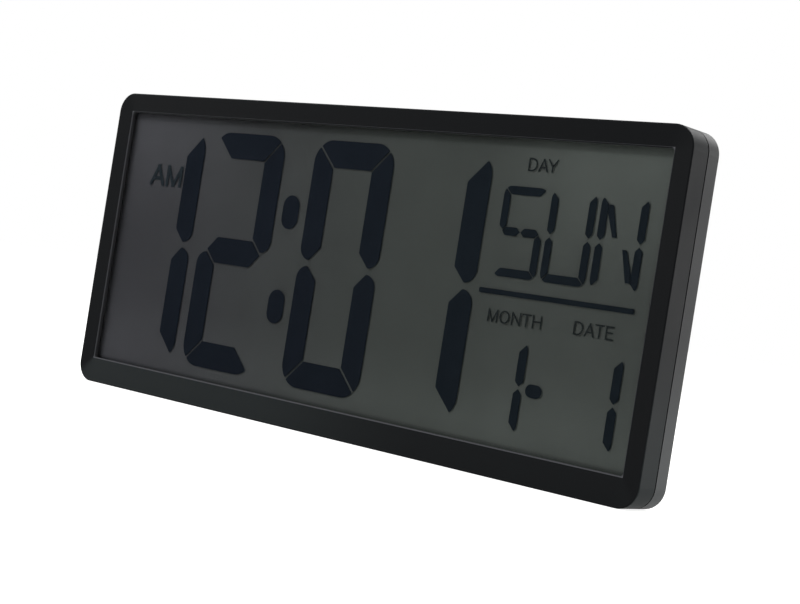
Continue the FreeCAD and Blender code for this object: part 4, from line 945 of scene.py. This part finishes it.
def stacked_rings(name: str, sheets: list[list[list[Vector]]]) -> bpy.types.Mesh:
    """Mesh of closed sheets, each through rings of equal point count and capped at both ends.

    Args:
        name: The mesh's name.
        sheets: The rings of each sheet from front to back.

    Returns:
        The mesh.
    """
    work = bmesh.new()
    for rings in sheets:
        layers = [[work.verts.new(point) for point in ring] for ring in rings]
        count = len(rings[0])
        made = [work.faces.new(layers[0]), work.faces.new(list(reversed(layers[-1])))]
        for front, back in zip(layers, layers[1:]):
            for index in range(count):
                after = (index + 1) % count
                made.append(work.faces.new((front[index], back[index], back[after], front[after])))
        bmesh.ops.recalc_face_normals(work, faces=made)
    mesh = bpy.data.meshes.new(name)
    work.to_mesh(mesh)
    work.free()
    return mesh


def bow(centre: tuple[float, float], reach: tuple[float, float], start: float, end: float,
        steps: int = 10) -> list[tuple[float, float]]:
    """Points along part of an ellipse in a letter's unit box.

    Args:
        centre: Centre of the ellipse.
        reach: Its half width and half height.
        start: Angle of the first point, in degrees.
        end: Angle of the last.
        steps: Spans between them.

    Returns:
        The points.
    """
    angles = [math.radians(start + (end - start) * step / steps) for step in range(steps + 1)]
    return [(centre[0] + reach[0] * math.cos(angle), centre[1] + reach[1] * math.sin(angle))
            for angle in angles]


# Middle lines of the pen strokes of each letter, in a box from nought to one.
PEN_STROKES: dict[str, list[list[tuple[float, float]]]] = {
    "A": [[(0.0, 0.0), (0.5, 1.0)], [(0.5, 1.0), (1.0, 0.0)], [(0.2, 0.32), (0.8, 0.32)]],
    "D": [[(0.0, 0.0), (0.0, 1.0)],
          [(0.0, 1.0), *bow((0.42, 0.5), (0.58, 0.5), 90.0, -90.0), (0.0, 0.0)]],
    "E": [[(0.0, 0.0), (0.0, 1.0)], [(0.0, 1.0), (1.0, 1.0)], [(0.0, 0.52), (0.93, 0.52)],
          [(0.0, 0.0), (1.0, 0.0)]],
    "H": [[(0.0, 0.0), (0.0, 1.0)], [(1.0, 0.0), (1.0, 1.0)], [(0.0, 0.52), (1.0, 0.52)]],
    "M": [[(0.0, 0.0), (0.0, 1.0)], [(0.0, 1.0), (0.5, 0.0)], [(0.5, 0.0), (1.0, 1.0)],
          [(1.0, 1.0), (1.0, 0.0)]],
    "N": [[(0.0, 0.0), (0.0, 1.0)], [(0.0, 1.0), (1.0, 0.0)], [(1.0, 0.0), (1.0, 1.0)]],
    "O": [bow((0.5, 0.5), (0.5, 0.5), 0.0, 360.0, 24)],
    "P": [[(0.0, 0.0), (0.0, 1.0)],
          [(0.0, 1.0), *bow((0.62, 0.74), (0.38, 0.26), 90.0, -90.0), (0.0, 0.48)]],
    "S": [bow((0.5, 0.75), (0.48, 0.25), 30.0, 270.0) + bow((0.5, 0.25), (0.5, 0.25), 90.0, -150.0)[1:]],
    "T": [[(0.0, 1.0), (1.0, 1.0)], [(0.5, 1.0), (0.5, 0.0)]],
    "U": [[(0.0, 1.0), *bow((0.5, 0.36), (0.5, 0.36), 180.0, 360.0), (1.0, 1.0)]],
    "W": [[(0.0, 1.0), (0.25, 0.0)], [(0.25, 0.0), (0.5, 1.0)], [(0.5, 1.0), (0.75, 0.0)],
          [(0.75, 0.0), (1.0, 1.0)]],
    "Y": [[(0.0, 1.0), (0.5, 0.42)], [(1.0, 1.0), (0.5, 0.42)], [(0.5, 0.45), (0.5, 0.0)]],
}


def clipped(corners: list[Vector], width: float, height: float) -> list[Vector]:
    """Cuts a convex outline off at the sides of a letter's box.

    Args:
        corners: Corners of the outline.
        width: The box reaches from nought to this across.
        height: The box reaches from nought to this upward.

    Returns:
        The corners that are left, fewer than three where nothing is.
    """
    sides = (((1.0, 0.0), 0.0), ((-1.0, 0.0), width), ((0.0, 1.0), 0.0), ((0.0, -1.0), height))
    for (across, up), offset in sides:
        kept = []
        rooms = [across * corner.x + up * corner.y + offset for corner in corners]
        for index, (corner, room) in enumerate(zip(corners, rooms)):
            before, room_before = corners[index - 1], rooms[index - 1]
            if (room < 0.0) != (room_before < 0.0):
                kept.append(before.lerp(corner, room_before / (room_before - room)))
            if room >= 0.0:
                kept.append(corner)
        corners = kept
    return corners


def stroke_outlines(line: list[tuple[float, float]], width: float, height: float,
                    pen: float) -> list[list[Vector]]:
    """Convex outlines that together make one pen stroke.

    Args:
        line: The stroke's middle line in its unit box.
        width: Width of the letter.
        height: Height of the letter.
        pen: Width of the pen.

    Returns:
        A bar along each span and a disc at each turn, cut off at the letter's box.
    """
    spots = [Vector((pen / 2.0 + u * (width - pen), pen / 2.0 + v * (height - pen))) for u, v in line]
    outlines = []
    for index, (start, end) in enumerate(zip(spots, spots[1:])):
        along = (end - start).normalized() * pen
        side = Vector((-along.y, along.x)) / 2.0
        if index == 0 and (0.0 in line[0] or 1.0 in line[0]):
            start = start - along
        if index == len(spots) - 2 and (0.0 in line[-1] or 1.0 in line[-1]):
            end = end + along
        outlines.append([start + side, start - side, end - side, end + side])
    turns = [math.tau * corner / DISC_CORNERS for corner in range(DISC_CORNERS)]
    for spot in spots[1:-1]:
        outlines.append([spot + Vector((math.cos(turn), math.sin(turn))) * pen / 2.0 for turn in turns])
    return [outline for outline in (clipped(corners, width, height) for corners in outlines)
            if len(outline) > 2]


def lettering(name: str, text: str, pen: Pen, spans: Iterable[tuple[float, float]], low: float,
              high: float, front: float, back: float) -> bpy.types.Mesh:
    """A word as thin closed letters, each between its own two ends.

    Args:
        name: The mesh's name.
        text: The letters.
        pen: The pen that draws them.
        spans: X where each letter starts and ends as it is read; falling for a word read from behind.
        low: Lowest Z.
        high: Highest Z.
        front: Y of the face that is read.
        back: Y of the other face.

    Returns:
        The mesh.
    """
    work = bmesh.new()
    for letter, (start, end) in zip(text, spans):
        width, height = abs(end - start) / MM, (high - low) / MM
        outlines = [outline for line in PEN_STROKES[letter]
                    for outline in stroke_outlines(line, width, height, pen.value)]
        corners = [corner for outline in outlines for corner in outline]
        faces, first = [], 0
        for outline in outlines:
            faces.append(list(range(first, first + len(outline))))
            first += len(outline)
        spots, _, tiles, _, _, owners = delaunay_2d_cdt(corners, [], faces, INSIDE_TRIANGLES,
                                                        MERGE_DISTANCE)
        way = math.copysign(MM, end - start)
        layer = [work.verts.new((start + spot.x * way, front, low + spot.y * MM)) for spot in spots]
        inked = [work.faces.new([layer[corner] for corner in tile])
                 for tile, owner in zip(tiles, owners) if owner]
        raised = bmesh.ops.extrude_face_region(work, geom=inked, use_keep_orig=True)["geom"]
        for item in raised:
            if isinstance(item, bmesh.types.BMVert):
                item.co.y = back
    bmesh.ops.delete(work, geom=[vertex for vertex in work.verts if not vertex.link_faces], context="VERTS")
    bmesh.ops.recalc_face_normals(work, faces=work.faces)
    mesh = bpy.data.meshes.new(name)
    work.to_mesh(mesh)
    work.free()
    return mesh


# ---- Sub-assemblies ----

@dataclass
class SubAssembly:
    """A group of pieces that are built and dressed together."""

    finishes: dict[str, Finish]

    def build(self) -> list[bpy.types.Object]:
        """Makes the pieces that this file adds; most groups add none."""
        return []

    def dress(self) -> Iterable[str]:
        """Gives each carried-over solid its finish.

        Yields:
            The name of each solid.
        """
        for node, finish in self.finishes.items():
            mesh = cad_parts[node].data
            mesh.materials.clear()
            mesh.materials.append(finish.material())
            yield node


@dataclass
class Case(SubAssembly):
    """Front bezel, rear cover and the screws that join them."""

    finishes: dict[str, Finish] = field(default_factory=lambda: {
        "front_bezel": BEZEL_ABS, "rear_cover": COVER_ABS, "case_screws": BLACK_ZINC})


@dataclass
class Word:
    """One generic word of the display, in millimetres from the clock's middle and its base."""

    text: str
    pen: Pen
    spans: tuple[tuple[float, float], ...]
    low: float
    high: float


@dataclass
class Display(SubAssembly):
    """The liquid crystal cell, its films, its words and what holds it."""

    finishes: dict[str, Finish] = field(default_factory=lambda: {
        "lcd_gasket": GASKET_FOAM, "lcd_cell_seal": SEAL_EPOXY, "lcd_time_digits": SEGMENT_CRYSTAL,
        "lcd_weekday_letters": SEGMENT_CRYSTAL, "lcd_date_digits": SEGMENT_CRYSTAL,
        "lcd_reflector": REFLECTOR_FILM, "lcd_carrier": CARRIER_ABS, "carrier_screws": NICKEL,
        "lcd_ribbon": RIBBON_FILM})
    arris: float = 0.25 * MM
    crystal_clearance: float = 0.02 * MM
    glass_radius: float = 1.0 * MM
    film_depth: float = 0.4 * MM
    film_thickness: float = 0.1 * MM
    film_margin: float = 0.05 * MM
    words: tuple[Word, ...] = (
        Word("AM", Pen.BOLD, ((-155.2, -143.4), (-142.2, -129.8)), 111.4, 122.9),
        Word("DAY", Pen.FINE, ((98.6, 103.6), (104.2, 109.5), (109.2, 114.6)), 135.9, 141.9),
        Word("MONTH", Pen.FINE,
             ((89.2, 94.8), (95.8, 101.4), (102.6, 107.6), (108.3, 113.2), (114.1, 119.1)), 67.4, 73.3),
        Word("DATE", Pen.FINE,
             ((136.2, 141.1), (141.9, 146.9), (147.1, 151.8), (152.6, 156.9)), 67.6, 73.6))

    def build(self) -> list[bpy.types.Object]:
        """Makes the two laminated panes and the words.

        Returns:
            The pieces.
        """
        return [self.front_pane(), self.rear_pane(), *map(self.word, self.words)]

    def front_pane(self) -> bpy.types.Object:
        """One pane of glass with ground edges under its smaller polariser.

        Returns:
            The pane, which stands for the film and the glass that are laminated in it.
        """
        film_low, film_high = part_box("lcd_front_polarizer")
        glass_low, glass_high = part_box("lcd_front_glass")
        back = glass_high.y - self.crystal_clearance
        profile = ((film_low, film_high, self.arris, film_low.y),
                   (film_low, film_high, 0.0, film_low.y + self.arris / 2.0),
                   (film_low, film_high, 0.0, glass_low.y),
                   (glass_low, glass_high, self.arris, glass_low.y),
                   (glass_low, glass_high, 0.0, glass_low.y + self.arris),
                   (glass_low, glass_high, 0.0, back - self.arris),
                   (glass_low, glass_high, self.arris, back))
        rings = [rounded_ring(low.x + inset, high.x - inset, low.z + inset, high.z - inset,
                              self.glass_radius, depth) for low, high, inset, depth in profile]
        mesh = stacked_rings("lcd_front_pane", [rings])
        # Dyed polariser film on glass, etched matt: greys what lies behind it and shows no gloss.
        film = PolariserFilm("polariser_film_etched", "000000", density=0.5,
                             clear_from=(glass_low.y + back) / 2.0, streak_mm=20.0)
        pane = new_piece("lcd_front_pane", mesh, Body.CASE, Slot.POLARISER, film)
        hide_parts("lcd_front_polarizer", "lcd_front_glass")
        return pane

    def rear_pane(self) -> bpy.types.Object:
        """The rear pane of glass, with the film that is the ground of the display in it.

        Returns:
            The pane.
        """
        low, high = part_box("lcd_rear_glass")
        film = low.y + self.film_depth
        sheets = [[rounded_ring(low.x + inset, high.x - inset, low.z + inset, high.z - inset,
                                self.glass_radius, depth) for inset, depth in profile]
                  for profile in (((self.arris, low.y), (0.0, low.y + self.arris),
                                   (0.0, high.y - self.arris), (self.arris, high.y)),
                                  ((self.arris, film), (self.arris, film + self.film_thickness)))]
        mesh = stacked_rings("lcd_rear_pane", sheets)
        # Float glass round a pearly film: the grey ground of the display, which the digits cast a soft
        # shadow on. Painted shade darkens it toward the rims, and painted light makes its upper corners,
        # foot, right part and left rim paler.
        backed = BackedGlass("float_glass_film_laminated", "78797f", "848b87", film_place=film,
                             film_reach=self.film_thickness + self.film_margin)
        pane = new_piece("lcd_rear_pane", mesh, Body.CASE, Slot.GLASS, backed)
        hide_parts("lcd_rear_glass")
        return pane

    def word(self, word: Word) -> bpy.types.Object:
        """Lays one word in the crystal layer, level with the digits.

        Args:
            word: The word and its box.

        Returns:
            The letters as one piece.
        """
        digits_low, digits_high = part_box("lcd_time_digits")
        name = f"lcd_word_{word.text.lower()}"
        spans = [(start * MM, end * MM) for start, end in word.spans]
        mesh = lettering(name, word.text, word.pen, spans, word.low * MM, word.high * MM,
                         digits_low.y, digits_high.y)
        finish = BOLD_WORD_CRYSTAL if word.pen is Pen.BOLD else WORD_CRYSTAL
        return new_piece(name, mesh, Body.CASE, Slot.SEGMENT, finish)


@dataclass
class Electronics(SubAssembly):
    """The circuit board and what is soldered to it."""

    finishes: dict[str, Finish] = field(default_factory=lambda: {
        "main_board": BOARD_LAMINATE, "board_screws": NICKEL, "chip_encapsulation": CHIP_EPOXY,
        "quartz_crystal": NICKEL, "chip_capacitors": CAPACITOR_CERAMIC, "switch_bodies": SWITCH_NYLON})


@dataclass
class BatteryCompartment(SubAssembly):
    """Two AA cells, their contacts and leads, and the sliding door."""

    finishes: dict[str, Finish] = field(default_factory=lambda: {
        "positive_contact": NICKEL, "negative_contact": NICKEL, "bridge_contact": NICKEL,
        "battery_lead_red": RED_PVC, "battery_lead_black": BLACK_PVC, "battery_door": COVER_ABS})
    sleeve_edge: float = 1.2 * MM
    band_width: float = 9.0 * MM
    nub_height: float = 1.0 * MM

    def dress(self) -> Iterable[str]:
        """Dresses the compartment, the cells by their own axes.

        Yields:
            The name of each solid.
        """
        low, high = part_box("aa_cells")
        radius = (high.y - low.y) / 2.0
        half_length = (high.x - low.x) / 2.0
        # Nickel-plated cans in a printed blue sleeve, with a white ring at the plus end.
        self.finishes["aa_cells"] = CellSleeve(
            "printed_sleeve_on_steel_can", "1d3f6e", "d9dadb", "b9b6ae", centre=(low.x + high.x) / 2.0,
            axis_heights=(high.z - radius, low.z + radius), axis_depth=(low.y + high.y) / 2.0,
            sleeve_radius=radius - self.sleeve_edge,
            band_start=half_length - self.nub_height - self.band_width)
        yield from super().dress()


@dataclass
class Stand(SubAssembly):
    """The fold-out leg and its steel pin."""

    finishes: dict[str, Finish] = field(default_factory=lambda: {
        "stand_leg": COVER_ABS, "stand_hinge_pin": NICKEL})


@dataclass
class SettingButtons(SubAssembly):
    """Four buttons in their pocket, each with its plunger and its printed word."""

    finishes: dict[str, Finish] = field(default_factory=dict)
    legends: tuple[str, ...] = ("DOWN", "UP", "SET", "MODE")
    letter_height: float = 2.0 * MM
    letter_width: float = 1.25 * MM
    letter_pitch: float = 1.6 * MM
    gap: float = 1.2 * MM
    ink_height: float = 0.05 * MM
    pocket_floor_inset: float = 1.5 * MM

    def build(self) -> list[bpy.types.Object]:
        """Prints each button's word above it.

        Returns:
            The words.
        """
        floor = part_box("rear_cover")[1].y - self.pocket_floor_inset
        pieces = []
        for number, text in enumerate(self.legends, 1):
            low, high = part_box(f"button_{number}")
            first = (low.x + high.x + self.letter_pitch * (len(text) - 1)) / 2.0
            starts = [first - self.letter_pitch * index + self.letter_width / 2.0
                      for index in range(len(text))]
            spans = [(start, start - self.letter_width) for start in starts]
            bottom = high.z + self.gap
            name = f"legend_{text.lower()}"
            mesh = lettering(name, text, Pen.PRINT, spans, bottom, bottom + self.letter_height,
                             floor + self.ink_height, floor)
            pieces.append(new_piece(name, mesh, Body.CASE, Slot.BLACK_ABS, LEGEND_INK))
        return pieces

    def dress(self) -> Iterable[str]:
        """Dresses the buttons and their plungers.

        Yields:
            The name of each solid.
        """
        for number in range(1, len(self.legends) + 1):
            self.finishes[f"button_{number}"] = BUTTON_ABS
            self.finishes[f"switch_plunger_{number}"] = SWITCH_NYLON
        yield from super().dress()


# ---- Studio ----

@dataclass(frozen=True)
class Softbox:
    """A square lamp panel, known by its place, its side and its brightness."""

    name: str
    place: tuple[float, float, float]
    side: float
    radiance: float

    def build(self, target: Vector) -> bpy.types.Object:
        """Hangs the panel so that it faces a point.

        Args:
            target: The point.

        Returns:
            The lamp.
        """
        lamp = bpy.data.lights.new(self.name, "AREA")
        lamp.size = self.side
        lamp.energy = self.radiance * math.pi * self.side ** 2
        holder = bpy.data.objects.new(self.name, lamp)
        bpy.context.scene.collection.objects.link(holder)
        holder.location = self.place
        holder.rotation_euler = (target - Vector(self.place)).to_track_quat("-Z", "Y").to_euler()
        holder.visible_camera = False
        return holder


@dataclass
class Studio:
    """White floor and surroundings, soft lamps, and the camera."""

    floor_side: float = 40.0
    floor_colour: str = "e6e6e4"
    floor_lift: float = 0.8
    ambient: float = 0.42
    softboxes: tuple[Softbox, ...] = (
        Softbox("upper_left_softbox", (-0.57, -0.91, 0.82), 1.0, 2.8),
        Softbox("rear_right_panel", (0.95, 0.88, 0.2), 0.8, 5.0),
        Softbox("rear_top_panel", (0.15, 0.95, 0.95), 0.8, 4.2))
    camera_place: tuple[float, float, float] = (0.5367, -0.5841, 0.0701)
    azimuth: float = 41.0
    elevation: float = 0.03
    roll: float = 9.067
    lens: float = 73.35

    def build(self) -> None:
        """Makes the whole studio."""
        target = (CAD_BOX[0] + CAD_BOX[1]) / 2.0
        for softbox in self.softboxes:
            softbox.build(target)
            log.info("lamp %s", softbox.name)
        self.floor()
        self.world()
        self.camera()
        bpy.context.scene.view_settings.view_transform = "Standard"

    def seen_white(self, tree: Tree) -> Socket:
        """One for the rays that look at the surroundings, nought for those that light the object.

        Args:
            tree: The node tree.

        Returns:
            The socket of that number.
        """
        path = add_node(tree, "ShaderNodeLightPath")
        mirrored = add_node(tree, "ShaderNodeMath",
                            {0: path.outputs["Is Camera Ray"], 1: path.outputs["Is Glossy Ray"]},
                            operation="MAXIMUM")
        seen = add_node(tree, "ShaderNodeMath",
                        {0: mirrored.outputs["Value"], 1: path.outputs["Is Transmission Ray"]},
                        operation="MAXIMUM")
        return seen.outputs["Value"]

    def floor(self) -> None:
        """A pale floor that looks white and keeps the clock's shadow."""
        half = self.floor_side / 2.0
        mesh = bpy.data.meshes.new("studio_floor")
        mesh.from_pydata([(-half, -half, 0.0), (half, -half, 0.0), (half, half, 0.0), (-half, half, 0.0)],
                         [], [(0, 1, 2, 3)])
        floor = bpy.data.objects.new("studio_floor", mesh)
        bpy.context.scene.collection.objects.link(floor)
        material = bpy.data.materials.new("pale_painted_board")
        material.use_nodes = True
        tree = material.node_tree
        tree.nodes.clear()
        lift = add_node(tree, "ShaderNodeMath", {0: self.seen_white(tree), 1: self.floor_lift},
                        operation="MULTIPLY")
        glow = add_node(tree, "ShaderNodeEmission", {"Strength": lift.outputs["Value"]})
        board = add_node(tree, "ShaderNodeBsdfDiffuse", {"Color": linear(self.floor_colour)})
        both = add_node(tree, "ShaderNodeAddShader",
                        {0: board.outputs["BSDF"], 1: glow.outputs["Emission"]})
        add_node(tree, "ShaderNodeOutputMaterial", {"Surface": both.outputs["Shader"]})
        mesh.materials.append(material)
        floor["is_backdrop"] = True

    def world(self) -> None:
        """Plain surroundings: white to look at, and a softer grey as light."""
        world = bpy.data.worlds.new("studio_surroundings")
        bpy.context.scene.world = world
        world.use_nodes = True
        tree = world.node_tree
        tree.nodes.clear()
        light = add_node(tree, "ShaderNodeBackground",
                         {"Color": linear(WHITE), "Strength": self.ambient})
        white = add_node(tree, "ShaderNodeBackground", {"Color": linear(WHITE), "Strength": 1.0})
        mixed = add_node(tree, "ShaderNodeMixShader",
                         {0: self.seen_white(tree), 1: light.outputs["Background"],
                          2: white.outputs["Background"]})
        add_node(tree, "ShaderNodeOutputWorld", {"Surface": mixed.outputs["Shader"]})

    def camera(self) -> None:
        """Stands the camera to the clock's right, level with it and rolled."""
        turn, tilt, roll = [math.radians(angle) for angle in (self.azimuth, self.elevation, self.roll)]
        back = Vector((math.sin(turn) * math.cos(tilt), -math.cos(turn) * math.cos(tilt), math.sin(tilt)))
        level = Vector((math.cos(turn), math.sin(turn), 0.0))
        right = math.cos(roll) * level + math.sin(roll) * back.cross(level)
        up = back.cross(right)
        data = bpy.data.cameras.new("camera")
        data.sensor_width = 36.0
        data.lens = self.lens
        data.clip_start = 0.01
        holder = bpy.data.objects.new("camera", data)
        bpy.context.scene.collection.objects.link(holder)
        axes = Matrix((right, up, back)).transposed().to_4x4()
        holder.matrix_world = Matrix.Translation(self.camera_place) @ axes
        bpy.context.scene.camera = holder


def write_sizes() -> None:
    """Gathers the solids' box and the dressed clock's box, and keeps neither."""
    boxes = {"cad": CAD_BOX, "visual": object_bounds()}
    {name: [list(corner) for corner in box] for name, box in boxes.items()}


def main() -> None:
    """Builds and dresses the clock, sub-assembly by sub-assembly, and then the studio."""
    logging.basicConfig(level=logging.INFO, format="%(name)s: %(message)s")
    for group in (Case(), Display(), Electronics(), BatteryCompartment(), Stand(), SettingButtons()):
        for piece in group.build():
            log.info("%s made %s", type(group).__name__, piece.name)
        for node in group.dress():
            log.info("%s dressed %s", type(group).__name__, node)
    Studio().build()
    write_sizes()


if __name__ == "__main__":
    main()
